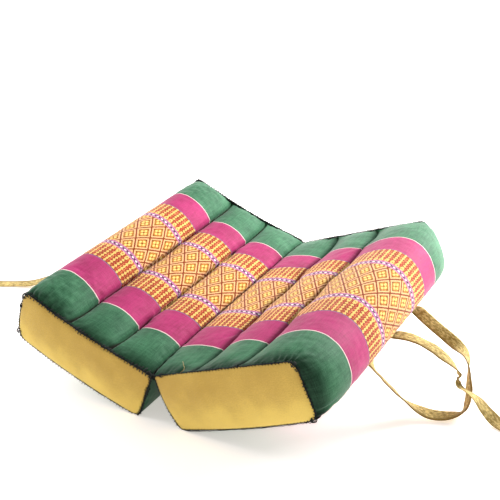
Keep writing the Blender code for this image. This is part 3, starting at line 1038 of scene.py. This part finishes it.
# %% Lay the bands over each other
def woven_cloth():
    material, shader, across, along = new_material("woven_cloth", 0.7, sheen=0.18)
    shader.inputs["Specular IOR Level"].default_value = 0.17
    wander = (across.speckle(9, 1.0) - 0.5) * BAND_WANDER
    seam = seam_distance(along, wander)
    column, row = across.threads(THREAD), seam.threads(THREAD)
    grain = across.speckle(1000, 2.0)
    silk, streaks = silk_tone(across, grain)
    tone = (seam > WHITE_EDGE).tint(silk.tint(GREEN_DARK, GREEN_LIGHT), WHITE_LINE)
    tone = (seam > PINK_EDGE).tint(tone, silk.tint(PINK_DARK, PINK_LIGHT))
    tone = (seam > LEAF_EDGE - BLUE_LINE_WIDTH).tint(tone, BLUE_LINE)
    leaves, leaf_height = leaf_stems(column, row - LEAF_EDGE)
    tone = (row > LEAF_EDGE).tint(tone, leaves)
    tone = (row > RIBBON_EDGE).tint(tone, ribbon(column, row - RIBBON_EDGE))
    diamonds, diamond_height = lattice(column, (along + wander).threads(THREAD) - LATTICE_MIDDLE)
    tone = (row > LATTICE_EDGE).tint(tone, diamonds)
    figured = row > LEAF_EDGE
    tone = (grain.ramp(0.45, 0.7) * figured * 0.3).tint(tone, GOLD_BROWN)
    from_stitches = from_channel(across)
    # Puckers beside the stitching in the figured bands: dips in the bump, and painted shade in the colour.
    puckers = across.speckle(150, 2.0, (0.35, 1.0, 1.0)).ramp(0.42, 0.58)
    puckers = puckers * figured * from_stitches.ramp(*PUCKERS_REACH)
    stitch_and_shade, dark = sewn_shade(across, along, from_stitches, figured, puckers)
    # The stitching's line, its painted shadow and the painted shade darken the colour.
    tone = stitch_and_shade.tint(tone, SHADOW).dimmed(dark)
    floats = (row > LATTICE_EDGE) * diamond_height + row.between(LEAF_EDGE, RIBBON_EDGE) * leaf_height
    height = floats * 0.5 + grain * figured * 0.6 + streaks * 0.25 - puckers * 2
    rough = (figured * 0.2).most(from_stitches.ramp(*MATT_REACH)) + 0.65
    set_surface(material, shader, tone, height, 0.5, rough)
    return material


# %% [markdown]
# ## Filling the cover
# A stuffed cover looks full because its cloth is cut a little large and pushed out by the kapok
# between the seams. The cloth simulation does that: the seams are held, the cloth is let out by a
# few per cent, and a light pressure pushes it out. Then it wrinkles at the seams by itself. Each
# point may move only a little, so the cover stays on its solid.

# %% Mark the seams
CHANNEL_CREASE = 0.7


def mark_seams(shape):
    """The vertices on the cover's seams. The edges along the channels get a crease."""
    crease = shape.edges.layers.float.new("crease_edge")
    marks = []
    for vert in shape.verts:
        column, row = grid_place(vert, COLUMNS, ROWS)
        if column in SEAM_COLUMNS or row in END_SEAM_ROWS:
            marks.append(vert)
    for edge in shape.edges:
        places = [grid_place(vert, COLUMNS, ROWS) for vert in edge.verts]
        if places[0][0] == places[1][0] and places[0][0] in SEAM_COLUMNS:
            edge[crease] = CHANNEL_CREASE
    return marks


# %% A short simulation with pressure
def vertex_rows(mesh, attribute):
    """The places or the normals of a mesh's vertices, three numbers a row."""
    values = np.empty(len(mesh.vertices) * 3)
    mesh.vertices.foreach_get(attribute, values)
    return values.reshape(-1, 3)


def move_vertices(mesh, place, inside):
    """Moves the vertices to new places, but not past the side panels or under the floor."""
    place[:, 1] = np.clip(place[:, 1], -inside, inside)
    place[:, 2] = np.maximum(place[:, 2], 0)
    mesh.vertices.foreach_set("co", place.ravel())
    mesh.update()


def fill_out(piece, held, loose, hold, pressure, most_loose, most, frames):
    """Pushes a cloth outwards and lets it out near its seams. No point moves farther than most."""
    mesh = piece.data
    start = vertex_rows(mesh, "co")
    pins = piece.vertex_groups.new(name="pins")
    pins.add(range(len(mesh.vertices)), hold, "REPLACE")
    pins.add(held, 1.0, "REPLACE")
    taut = piece.vertex_groups.new(name="taut")
    for index, share in enumerate(loose):
        taut.add([index], 1 - share, "REPLACE")
    cloth = piece.modifiers.new("filling", "CLOTH")
    settings = cloth.settings
    settings.quality = 5
    settings.mass = 0.15
    settings.tension_stiffness = 20
    settings.compression_stiffness = 20
    settings.shear_stiffness = 8
    settings.bending_stiffness = 0.1
    settings.use_pressure = True
    settings.uniform_pressure_force = pressure
    settings.shrink_min = -most_loose
    settings.shrink_max = 0.0
    settings.vertex_group_shrink = "taut"
    settings.vertex_group_mass = "pins"
    settings.effector_weights.gravity = 0
    cloth.collision_settings.use_collision = False
    scene = bpy.context.scene
    for frame_number in range(1, frames + 1):
        scene.frame_set(frame_number)
    filled = piece.evaluated_get(bpy.context.evaluated_depsgraph_get())
    moved = vertex_rows(filled.data, "co") - start
    piece.modifiers.remove(cloth)
    length = np.linalg.norm(moved, axis=1)
    moved *= (np.tanh(length / most) * most / np.maximum(length, 1e-9))[:, None]
    move_vertices(mesh, start + moved, FOLD_LENGTH / 2)
    scene.frame_set(1)
    mean, farthest = length.mean() / MM, length.max() / MM
    print(f"{piece.name}: moved {mean:.1f} mm on average and {farthest:.1f} mm at most")


# %% Where the cover is gathered
END_SLACK, END_SLACK_REACH = 0.55, 12 * MM
CHANNEL_SLACK, CHANNEL_SLACK_REACH = 0.3, 7 * MM
CORNER_GATHERS = ((-0.205, 1.0, 0.05), (0.215, 0.5, 0.03))


def looseness(column, row):
    """How loose the cover is at a column and row, from 0 to 1: most at the side panels' seams."""
    across, along = COLUMNS[column], ROWS[row]
    from_end = min(along, FOLD_LENGTH - along)
    from_seam = min(abs(across - COLUMNS[seam]) for seam in SEAM_COLUMNS)
    gathered = END_SLACK * math.exp(-from_end / END_SLACK_REACH)
    gathered += CHANNEL_SLACK * math.exp(-from_seam / CHANNEL_SLACK_REACH)
    for place, share, spread in CORNER_GATHERS:
        near = math.hypot(across - place, from_end) / spread
        gathered += share * math.exp(-near * near)
    return min(gathered, 1.0)


# %% Lay and fill the cover
COVER_JITTER = 0.25
WELD_DISTANCE = 0.01 * MM
seam_verts = set(mark_seams(cover_shape))
slack_layer = cover_shape.verts.layers.float.new("slack")
for vert in cover_shape.verts:
    vert[slack_layer] = looseness(*grid_place(vert, COLUMNS, ROWS))
random.seed(4)
lay_cloth(cover_shape, COLUMNS, ROWS, cover_place)
for vert in cover_shape.verts:
    if vert not in seam_verts:
        vert.co += Vector([random.uniform(-COVER_JITTER, COVER_JITTER) * MM for _ in range(3)])
bmesh.ops.remove_doubles(cover_shape, verts=cover_shape.verts, dist=WELD_DISTANCE)
cover_shape.verts.index_update()
held = [vert.index for vert in cover_shape.verts if vert in seam_verts]
loose = [vert[slack_layer] for vert in cover_shape.verts]
cover = finished("cover_cloth", cover_shape, woven_cloth())
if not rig.quick():
    fill_out(cover, held, loose, hold=0.15, pressure=1.5, most_loose=0.05, most=4 * MM, frames=20)

# %% [markdown]
# ## Folds at the seams
# The simulation gives soft fullness, but sewing also draws the cloth into short, sharp folds that
# start at a seam and fade out. Each one is a line on the flat cloth, pressed in along the line and
# raised a little beside it. Most are scattered along the seams from a fixed seed, and the deep ones
# at the outer corners are placed one by one, where the stuffing pulls hardest.

# %% Lines of the folds on the flat cloth, in millimetres
CORNER_FOLDS = (
    (-207, 0, -212, 26, 2.4, 2.2),
    (-197, 0, -203, 15, 2.0, 1.5),
    (-187, 0, -189, 22, 2.3, 2.0),
    (-172, 0, -178, 20, 2.2, 1.7),
    (-160, 0, -166, 12, 2.0, 1.1),
    (214, 1, 211, 20, 2.4, 3.2),
    (208, 1, 200, 22, 2.2, 2.6),
    (202, 1, 189, 24, 2.2, 2.0),
    (220, 1, 226, 18, 2.4, 1.8),
    (195, 1, 180, 18, 2.0, 1.8),
    (188, 0, 172, 13, 1.9, 1.6),
    (170, 0, 163, 11, 1.8, 1.0),
    (43, 0, 48, 9, 1.8, 1.0),
    (291, 0, 286, 34, 2.2, 2.8),
)
END_FOLD_PITCH = 13.0
END_FOLD_LENGTH, END_FOLD_SLANT = (7, 19), 5
END_FOLD_WIDTH, END_FOLD_DEPTH = (1.5, 2.3), (0.4, 1.1)
CHANNEL_FOLD_PITCH = 7.5
CHANNEL_FOLD_LENGTH, CHANNEL_FOLD_SLANT = (5, 13), 3.5
CHANNEL_FOLD_WIDTH = 1.6
CHANNEL_FOLDS_FROM, CHANNEL_FOLDS_TO = 18.0, 380
FIGURED_FOLD_DEPTH, PLAIN_FOLD_DEPTH = (0.4, 1.2), (0.1, 0.45)
FIGURED_FROM, FIGURED_TO = 105, 295
FOLD_LIP, FOLD_LIP_PLACE = 0.18, 1.9
FOLD_FADE = 0.8
SEAM_MARGIN = 1.5
GROOVE_WIDTH, GROOVE_DEPTH = 2.3, 3.4
DENT_WIDTH, DENT_DEPTH, DENT_LENGTH = 2.2, 1.4, 24


def folds_along_ends(chance):
    """Short folds at both side panels' seams, as (across, along, to across, to along, width, depth)."""
    folds = []
    for at_back in (False, True):
        across = COLUMNS[0] * 1000
        while across < COLUMNS[-1] * 1000:
            across += END_FOLD_PITCH * chance.uniform(0.4, 1.6)
            length = chance.uniform(*END_FOLD_LENGTH)
            slant = chance.uniform(-END_FOLD_SLANT, END_FOLD_SLANT)
            width, depth = chance.uniform(*END_FOLD_WIDTH), chance.uniform(*END_FOLD_DEPTH)
            fold = (across, 0, across + slant, length, width, depth)
            folds.append(turned(*fold) if at_back else fold)
    return folds


def turned(x0, y0, x1, y1, width, depth):
    """The same fold at the back seam."""
    return x0, CLOTH_LENGTH - y0, x1, CLOTH_LENGTH - y1, width, depth


def folds_along_channels(chance):
    """Short folds beside the channels' stitching."""
    folds = []
    for seam in SEAM_COLUMNS:
        start = COLUMNS[seam] * 1000
        for toward in (-1, 1):
            along = CHANNEL_FOLDS_FROM
            while along < CHANNEL_FOLDS_TO:
                along += CHANNEL_FOLD_PITCH * chance.uniform(0.5, 1.5)
                end = start + toward * chance.uniform(*CHANNEL_FOLD_LENGTH)
                slant = chance.uniform(-CHANNEL_FOLD_SLANT, CHANNEL_FOLD_SLANT)
                figured = FIGURED_FROM < along < FIGURED_TO
                depth = chance.uniform(*(FIGURED_FOLD_DEPTH if figured else PLAIN_FOLD_DEPTH))
                folds.append((start, along, end, along + slant, CHANNEL_FOLD_WIDTH, depth))
    return folds


# %% Press the folds in
def flat_places(mesh):
    """The flat coordinates of a mesh's vertices, in millimetres."""
    corners = np.empty(len(mesh.loops), dtype=int)
    mesh.loops.foreach_get("vertex_index", corners)
    flat_corners = np.empty(len(mesh.loops) * 2)
    mesh.uv_layers["flat"].data.foreach_get("uv", flat_corners)
    flat = np.zeros((len(mesh.vertices), 2))
    flat[corners] = flat_corners.reshape(-1, 2) * 1000
    return flat


def folds_lift(flat, folds):
    """How far the folds raise each flat place, in millimetres, and less than 0 in their lines."""
    lift = np.zeros(len(flat))
    for x0, y0, x1, y1, width, depth in folds:
        start = np.array((x0, y0))
        way = np.array((x1, y1)) - start
        length = np.linalg.norm(way)
        near = np.nonzero(np.abs(flat - start - way / 2).max(axis=1) < length / 2 + 3 * width)[0]
        away = flat[near] - start
        along = away @ way / length**2
        beside = np.abs(away[:, 0] * way[1] - away[:, 1] * way[0]) / length / width
        past = np.maximum(-along, 0) * length / width
        strength = depth * (1 - np.clip(along, 0, 1)) ** FOLD_FADE * np.exp(-past**2)
        lip = FOLD_LIP * np.exp(-((beside - FOLD_LIP_PLACE) ** 2))
        lift[near] += strength * (lip - np.exp(-(beside**2)))
    return lift


def press_folds(piece, folds):
    """Smooths a piece once and presses folds into it, each deepest at its start."""
    smooth = smoothed(piece)
    bpy.context.view_layer.update()
    finished_piece = piece.evaluated_get(bpy.context.evaluated_depsgraph_get())
    mesh = bpy.data.meshes.new_from_object(finished_piece)
    piece.modifiers.remove(smooth)
    piece.data = mesh
    flat = flat_places(mesh)
    from_seam = np.minimum(flat[:, 1], CLOTH_LENGTH - flat[:, 1])
    lift = folds_lift(flat, folds) * np.clip(from_seam, 0, 1)
    place = vertex_rows(mesh, "co") + vertex_rows(mesh, "normal") * lift[:, None] * MM
    inside = FOLD_LENGTH / 2 - np.clip(from_seam, 0, SEAM_MARGIN) * MM
    move_vertices(mesh, place, inside)
    print(f"{len(folds)} folds, up to {-lift.min():.1f} mm deep, on {len(flat)} points")


def channel_grooves():
    """Grooves along the fold and the upper channels, which also have a dent at the front seam."""
    middle = CLOTH_LENGTH / 2
    grooves = []
    upper = [VALLEY + side * (stop + 1) for side in (-1, 1) for stop in SEAM_STOPS[1:3]]
    for seam in (VALLEY, *upper):
        across = COLUMNS[seam] * 1000
        for end in (middle - CLOTH_LENGTH, middle + CLOTH_LENGTH):
            grooves.append((across, middle, across, end, GROOVE_WIDTH, GROOVE_DEPTH))
        if seam != VALLEY:
            grooves.append((across, 0, across, DENT_LENGTH, DENT_WIDTH, DENT_DEPTH))
    return grooves


chance = random.Random(11)
folds = [*CORNER_FOLDS, *folds_along_ends(chance), *folds_along_channels(chance), *channel_grooves()]
press_folds(cover, folds)
on_body(cover, "cover_cloth", "cushion")
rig.padded(cover, fill=0.7)

# %% [markdown]
# ## The side panels
# Each half is closed at both ends by a four-sided piece of plain gold cotton. Its four edges are
# the edges of the cover's opening, and the cloth between them is a patch blended from the four
# edges, pillowed a little by the stuffing. Soft dents and short folds along the stitching keep it
# from looking like a board.

# %% Side panels from the four edges of an opening
# The side panels grow paler towards their lower edge: painted light, as thrown up by the floor.
FLOOR_LIGHT_BETWEEN = (20, 70)
SIDE_LIGHT, SIDE_DARK = colour(255, 220, 108), colour(208, 168, 74)
gusset_cotton = cotton("side_cotton", SIDE_LIGHT, SIDE_DARK, 0.7, 0.25, pale=FLOOR_LIGHT_BETWEEN)
PANEL_ACROSS = 2 * TUBE_STEPS + OUTER_STEPS
PANEL_DOWN = END_STEPS
PANEL_LAYER = 0.6 * MM
PILLOW_POWER = 0.45
WIDE_DENT, WIDE_DENT_SCALE = 1.1, 22
SMALL_DENT, SMALL_DENT_SCALE = 0.35, 60
PULL_REACH = 5 * MM
PULL_DEPTH, PULL_SCALE = 0.8, 170
OPENING_CORNERS = (PANEL_ACROSS, PANEL_ACROSS + END_STEPS, HALF_COLUMNS - 1 - NOTCH_STEPS)


def opening_outline(half):
    """The points (x, z) round an opening: from the fold over the top, down and back under."""
    return [Vector(tilted(half, point)) for point in SECTIONS[half["side"]][0]]


def opening_edges(half):
    """The top, end, under and notch edges of an opening: points (x, z) that run outwards or down."""
    outline = opening_outline(half)
    corner, lower, inner = OPENING_CORNERS
    top = outline[:corner + 1]
    end = outline[corner:lower + 1]
    under = outline[lower:inner + 1][::-1]
    notch = [outline[0], *reversed(outline[inner:])]
    return top, end, under, notch


def at_share(line, share):
    """A point a share of the way along a line of points, counted by its points."""
    position = share * (len(line) - 1)
    index = min(int(position), len(line) - 2)
    return line[index].lerp(line[index + 1], position - index)


def panel_place(edges, share_out, share_down):
    """A place on the patch blended from the four edges."""
    top, end, under, notch = edges
    across = at_share(top, share_out).lerp(at_share(under, share_out), share_down)
    down = at_share(notch, share_down).lerp(at_share(end, share_down), share_out)
    inner = top[0].lerp(under[0], share_down)
    outer = top[-1].lerp(under[-1], share_down)
    return across + down - inner.lerp(outer, share_out)


def make_side_panel(name, half, front, seed):
    """One side panel: -1 for the front and 1 for the back."""
    edges = opening_edges(half)
    columns = [half["top"] * n / PANEL_ACROSS for n in range(PANEL_ACROSS + 1)]
    rows = [half["depth"] * n / PANEL_DOWN for n in range(PANEL_DOWN + 1)]
    shape = cut_cloth(columns, rows)

    def place(column, row):
        out, down = column / PANEL_ACROSS, row / PANEL_DOWN
        spot = panel_place(edges, out, down)
        rim = min(out, 1 - out) * half["top"], min(down, 1 - down) * half["depth"]
        pillow = (16 * out * (1 - out) * down * (1 - down)) ** PILLOW_POWER
        where = Vector((spot.x, seed, spot.y))
        dent = noise.noise(where * WIDE_DENT_SCALE) * WIDE_DENT
        dent += noise.noise(where * SMALL_DENT_SCALE) * SMALL_DENT
        pull = math.exp(-min(rim) / PULL_REACH) * noise.noise(where * PULL_SCALE) * PULL_DEPTH
        bulge = PANEL_BULGE * pillow + (dent * min(pillow * 1.5, 1) + pull * min(min(rim) / MM, 1)) * MM
        return Vector((spot.x, front * (FOLD_LENGTH / 2 + bulge), spot.y))

    lay_cloth(shape, columns, rows, place)
    if front * half["side"] > 0:
        bmesh.ops.reverse_faces(shape, faces=shape.faces)
    panel = finished(name, shape, gusset_cotton)
    smoothed(panel)
    thicken(panel, PANEL_LAYER, -1)
    return panel


for half, side_name in ((LEFT, "left"), (RIGHT, "right")):
    for front, end_name in ((-1, "front"), (1, "back")):
        name = f"gusset_{side_name}_{end_name}"
        panel = make_side_panel(name + "_cloth", half, front, front * 3.0 + half["side"])
        on_body(panel, "side_cotton", name)
        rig.sheet(panel, flat=(half["top"], half["depth"]), held="stretched", rests_on=["cover_cloth"])

# %% [markdown]
# ## The overlocked edges
# The side panels are sewn in with a dark thread that runs over the raw edges again and again. That
# makes a thin dark ridge round each panel with teeth on it. The ridge is a small tube round the
# opening, and the thread is a helix round the ridge, uneven in pitch and reach like hand-fed
# sewing. At the back the raw edges stand up, so a narrow strip carries the ridge there. Ridge and
# thread are grids again, rolled round their line and welded. A curve with a bevel would be quicker
# to write, but its thickness could not change so freely from stitch to stitch. A loose end of pale
# thread lies on the cover, near the front of the right half.

# %% A round thread along a line
thread_material, thread_shader, *_ = new_material("dark_thread", 0.8, 0.1)
thread_shader.inputs["Base Color"].default_value = colour(8, 18, 13)


def roll_thread(name, path, sides, radii, outward, material):
    """A tube round a line of points. outward gives the direction of its first corner at each point."""
    around = [2 * math.pi * n / sides for n in range(sides + 1)]
    shape = cut_cloth([MM * turn for turn in around], [MM * n for n in range(len(path))])
    frames = []
    for index, centre in enumerate(path):
        along = way_at(path, index)
        first = (outward[index] - along * outward[index].dot(along)).normalized()
        frames.append((centre, first, along.cross(first), radii[index]))

    def place(column, row):
        centre, first, second, radius = frames[row]
        turn = around[column]
        point = centre + first * math.cos(turn) * radius + second * math.sin(turn) * radius
        return Vector((point.x, point.y, max(point.z, 0)))

    lay_cloth(shape, around, path, place)
    bmesh.ops.remove_doubles(shape, verts=shape.verts, dist=0.001 * MM)
    bmesh.ops.holes_fill(shape, edges=shape.edges, sides=sides)
    bmesh.ops.recalc_face_normals(shape, faces=shape.faces)
    return finished(name, shape, material)


# %% The line of a seam round a side panel
SEAM_WEIGHTS = {
    (-1, -1): (1.25, 0.75, 0.8, 1.0),
    (1, -1): (0.6, 0.95, 0.75, 0.6),
    (-1, 1): (0.7, 0.6, 0.4, 0.4),
    (1, 1): (0.35, 0.5, 0.4, 0.4),
}
SEAM_KNOTS = {-1: (0.385, 0.415, 0.49), 1: (0.372, 0.385, 0.505, 0.02)}
KNOT_SPREAD = 0.006
RIDGE_OUT = 0.3 * MM
BACK_FLANGE = 4.8 * MM
UPRIGHTNESS = 1.6
RAW_EDGE_LAYER = 0.8 * MM
RAW_EDGE_ROOT = 0.6 * MM
SEAM_UNEVEN, SEAM_UNEVEN_SCALE = 0.7, 70
RIDGE_STEP = 2 * MM
RIDGE_RADIUS = 0.95 * MM
RIDGE_WOBBLE, RIDGE_WOBBLE_SCALE = 0.6 * MM, 190
RIDGE_UNEVEN, RIDGE_UNEVEN_SCALE = 0.9, 230
RIDGE_SIDES = 6
THREAD_RADIUS = 0.52 * MM
THREAD_REACH = 2.0 * MM
THREAD_PITCH = 4.3 * MM
POINTS_A_TURN = 10
THREAD_SIDES = 5
THREAD_LEAST, THREAD_BY_WEIGHT = 0.55, 0.45
REACH_UNEVEN, REACH_UNEVEN_SCALE = 0.55, 210
PITCH_UNEVEN, PITCH_UNEVEN_SCALE = 0.5, 300
KNOT_TIGHTNESS = 0.75


def edge_of(index):
    """Which edge of an opening a point of its outline is on: 0 top, 1 end, 2 under or 3 notch."""
    return sum(index >= corner for corner in OPENING_CORNERS)


def seam_line(half, front):
    """Rows (point, outward direction, thickness, height of the standing edge) round an opening."""
    corners = [Vector((x, front * FOLD_LENGTH / 2, z)) for x, z in opening_outline(half)]
    middle = sum(corners, Vector()) / len(corners)
    line = []
    for index, (start, end) in enumerate(zip(corners, corners[1:] + corners[:1])):
        side = (end - start).cross(Vector((0, 1, 0))).normalized()
        if side.dot(start - middle) < 0:
            side.negate()
        weight = SEAM_WEIGHTS[half["side"], front][edge_of(index)]
        flange = BACK_FLANGE * weight * min(max(side.z * UPRIGHTNESS, 0), 1) if front > 0 else 0
        steps = max(round((end - start).length / RIDGE_STEP), 1)
        for n in range(steps):
            spot = start.lerp(end, n / steps)
            wobble = RIDGE_OUT + RIDGE_WOBBLE * weight * noise.noise(spot * RIDGE_WOBBLE_SCALE)
            uneven = weight * (1 + SEAM_UNEVEN * noise.noise(spot * SEAM_UNEVEN_SCALE))
            place = spot + side * wobble + Vector((0, front * RIDGE_OUT, 0))
            line.append((place, side, uneven, flange))
    line.append(line[0])
    return evened(line)


def evened(line):
    """The same rows with directions, thicknesses and heights averaged over their neighbours."""
    reach = 3
    rows = []
    for index, (spot, *_) in enumerate(line):
        near = [line[(index + n) % (len(line) - 1)] for n in range(-reach, reach + 1)]
        side = sum((row[1] for row in near), Vector()).normalized()
        rows.append((spot, side, *(sum(row[n] for row in near) / len(near) for n in (2, 3))))
    return rows


def standing(line):
    """The seam line on top of its standing edge."""
    return [(spot + side * flange, side, weight) for spot, side, weight, flange in line]


def knot(share, side):
    """How tangled the thread is at a share of the way round, from 0 to 1."""
    return max(math.exp(-((share - place) / KNOT_SPREAD) ** 2) for place in SEAM_KNOTS[side])


# %% Ridge, standing edge and thread round every side panel
def make_ridge(name, line):
    radii = []
    for spot, _, weight in line:
        uneven = RIDGE_UNEVEN * noise.noise(spot * RIDGE_UNEVEN_SCALE)
        radii.append(RIDGE_RADIUS * weight * (1 + uneven))
    sides = [side for _, side, _ in line]
    spots = [spot for spot, _, _ in line]
    return roll_thread(name, spots, RIDGE_SIDES, radii, sides, thread_material)


def make_standing_edge(name, line):
    """The raw edges that stand up behind the back seam, as a strip from the seam to the ridge."""
    lengths = [RIDGE_STEP * n for n in range(len(line))]
    shape = cut_cloth([0, BACK_FLANGE / 2, BACK_FLANGE], lengths)

    def place(column, row):
        spot, side, _, flange = line[row]
        return spot + side * (flange * column / 2 - RAW_EDGE_ROOT)

    lay_cloth(shape, (0, 1, 2), lengths, place)
    bmesh.ops.recalc_face_normals(shape, faces=shape.faces)
    edge = finished(name, shape, thread_material)
    thicken(edge, RAW_EDGE_LAYER, 0)
    return edge


def wind(line, side, front):
    """A helix round a line, uneven in pitch and reach: its points, directions and radii."""
    path, away, radii, turn = [], [], [], 0.0
    lengths = lengths_along([spot for spot, *_ in line])
    position, index = 0.0, 0
    while position < lengths[-1]:
        while lengths[index + 1] < position:
            index += 1
        share = (position - lengths[index]) / (lengths[index + 1] - lengths[index])
        centre = line[index][0].lerp(line[index + 1][0], share)
        outward = line[index][1].lerp(line[index + 1][1], share).normalized()
        weight = line[index][2]
        tangle = knot(position / lengths[-1], side) if front < 0 else 0
        uneven = noise.noise(centre * PITCH_UNEVEN_SCALE)
        spread = REACH_UNEVEN * noise.noise(centre * REACH_UNEVEN_SCALE + Vector((5, 0, 0)))
        reach = THREAD_REACH * weight * (1 + spread + tangle)
        direction = outward * math.cos(turn) + Vector((0, front, 0)) * math.sin(turn)
        path.append(centre + direction * reach)
        away.append(direction)
        radii.append(THREAD_RADIUS * (THREAD_LEAST + THREAD_BY_WEIGHT * weight))
        turn += 2 * math.pi / POINTS_A_TURN
        pitch = THREAD_PITCH * (1 + PITCH_UNEVEN * uneven) * (1 - KNOT_TIGHTNESS * tangle)
        position += pitch / POINTS_A_TURN
    return path, away, radii


for half, side_name in ((LEFT, "left"), (RIGHT, "right")):
    for front, end_name in ((-1, "front"), (1, "back")):
        seam = seam_line(half, front)
        line = standing(seam)
        pieces = [make_ridge(f"ridge_{side_name}_{end_name}", line)]
        path, away, radii = wind(line, half["side"], front)
        overlock = f"overlock_{side_name}_{end_name}"
        pieces.append(roll_thread(overlock, path, THREAD_SIDES, radii, away, thread_material))
        if front > 0:
            pieces.append(make_standing_edge(f"raw_edge_{side_name}", seam))
        for piece in pieces:
            on_body(piece, "cover_cloth")
        print(f"{overlock}: {len(path) // POINTS_A_TURN} turns of thread")

# %% A loose end of thread on the cover
LOOSE_THREAD = ((50, 0), (48, 4), (45, 8), (41, 13), (35, 19))
LOOSE_THREAD_RADIUS = 0.32 * MM
LOOSE_THREAD_LIFT = Vector((0, -0.6, 1.2)) * MM


def on_cover(across, along):
    """The place over the cover's point nearest to flat millimetres, before the filling."""
    column = int(np.argmin(np.abs(np.array(COLUMNS) * 1000 - across)))
    row = int(np.argmin(np.abs(np.array(ROWS) * 1000 - along)))
    return cover_place(column, row) + LOOSE_THREAD_LIFT


thread_path = [on_cover(*spot) for spot in LOOSE_THREAD]
thread_radii = [LOOSE_THREAD_RADIUS] * len(thread_path)
upward = [Vector((0, 0, 1))] * len(thread_path)
loose_end = roll_thread("loose_thread", thread_path, RIDGE_SIDES, thread_radii, upward, tape_cotton)
on_body(loose_end, "cover_cloth")

# %% [markdown]
# ## The floor and the light
# The photograph has an almost white floor, a bright light behind and above the cushion, and soft
# shadows under it. A large pale floor that glows more farther out and four area lights do that. The
# back light is near the far end, so that the cloth grows paler towards it, as it does in the
# photograph.

# %% Floor, world and lights
floor_material = bpy.data.materials.new("pale_floor")
floor_material.use_nodes = True
floor_shader = floor_material.node_tree.nodes["Principled BSDF"]
floor_shader.inputs["Base Color"].default_value = (0.9, 0.88, 0.88, 1.0)
floor_shader.inputs["Roughness"].default_value = 0.9
floor_shader.inputs["Emission Strength"].default_value = 1.0
floor_tree = floor_material.node_tree
floor_place = Flow(floor_tree, floor_tree.nodes.new("ShaderNodeTexCoord").outputs["Object"])
vector_length = {"operation": "LENGTH"}
from_middle = floor_place.node("ShaderNodeVectorMath", vector_length, {0: floor_place}, output=1)
# Painted light: near the cushion the floor's glow is dimmer and warmer, like light thrown back from the gold cloth.
glow = from_middle.ramp(0.8, 2.5).tint((0.5, 0.475, 0.44, 1.0), (0.8, 0.8, 0.8, 1.0))
floor_tree.links.new(glow.socket, floor_shader.inputs["Emission Color"])
floor_shape = bmesh.new()
bmesh.ops.create_grid(floor_shape, x_segments=1, y_segments=1, size=40.0)
floor = finished("floor", floor_shape, floor_material, smooth=False)
floor.data.transform(Matrix.Translation((0, 0, -0.5 * MM)))
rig.stage(floor)

world = bpy.data.worlds.new("studio")
bpy.context.scene.world = world
world.use_nodes = True
world.node_tree.nodes["Background"].inputs["Color"].default_value = (1.0, 0.98, 0.98, 1.0)
world.node_tree.nodes["Background"].inputs["Strength"].default_value = 0.37


def area_light(name, place, aim, size, watts):
    data = bpy.data.lights.new(name, "AREA")
    data.size = size
    data.energy = watts
    light = bpy.data.objects.new(name, data)
    bpy.context.scene.collection.objects.link(light)
    light.location = place
    light.rotation_euler = (Vector(place) - Vector(aim)).to_track_quat("Z", "Y").to_euler()


area_light("back_light", (0.3, 1.3, 0.7), (0.05, 0.1, 0.08), 1.2, 25)
area_light("left_light", (-1.3, -0.2, 0.7), (0, 0, 0.08), 0.8, 17)
area_light("near_back_light", (0.6, 0.75, 0.45), (0.17, 0.15, 0.1), 0.4, 14)
area_light("over_light", (0.1, 0.45, 0.6), (0.05, 0.15, 0.1), 0.35, 1.3)
bpy.context.scene.view_settings.view_transform = "Standard"

# %% Write the sizes and finish
low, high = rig.bounds()
with open("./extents.json", "w") as report:
    json.dump({"cad": [list(cad_low), list(cad_high)], "visual": [list(low), list(high)]}, report)
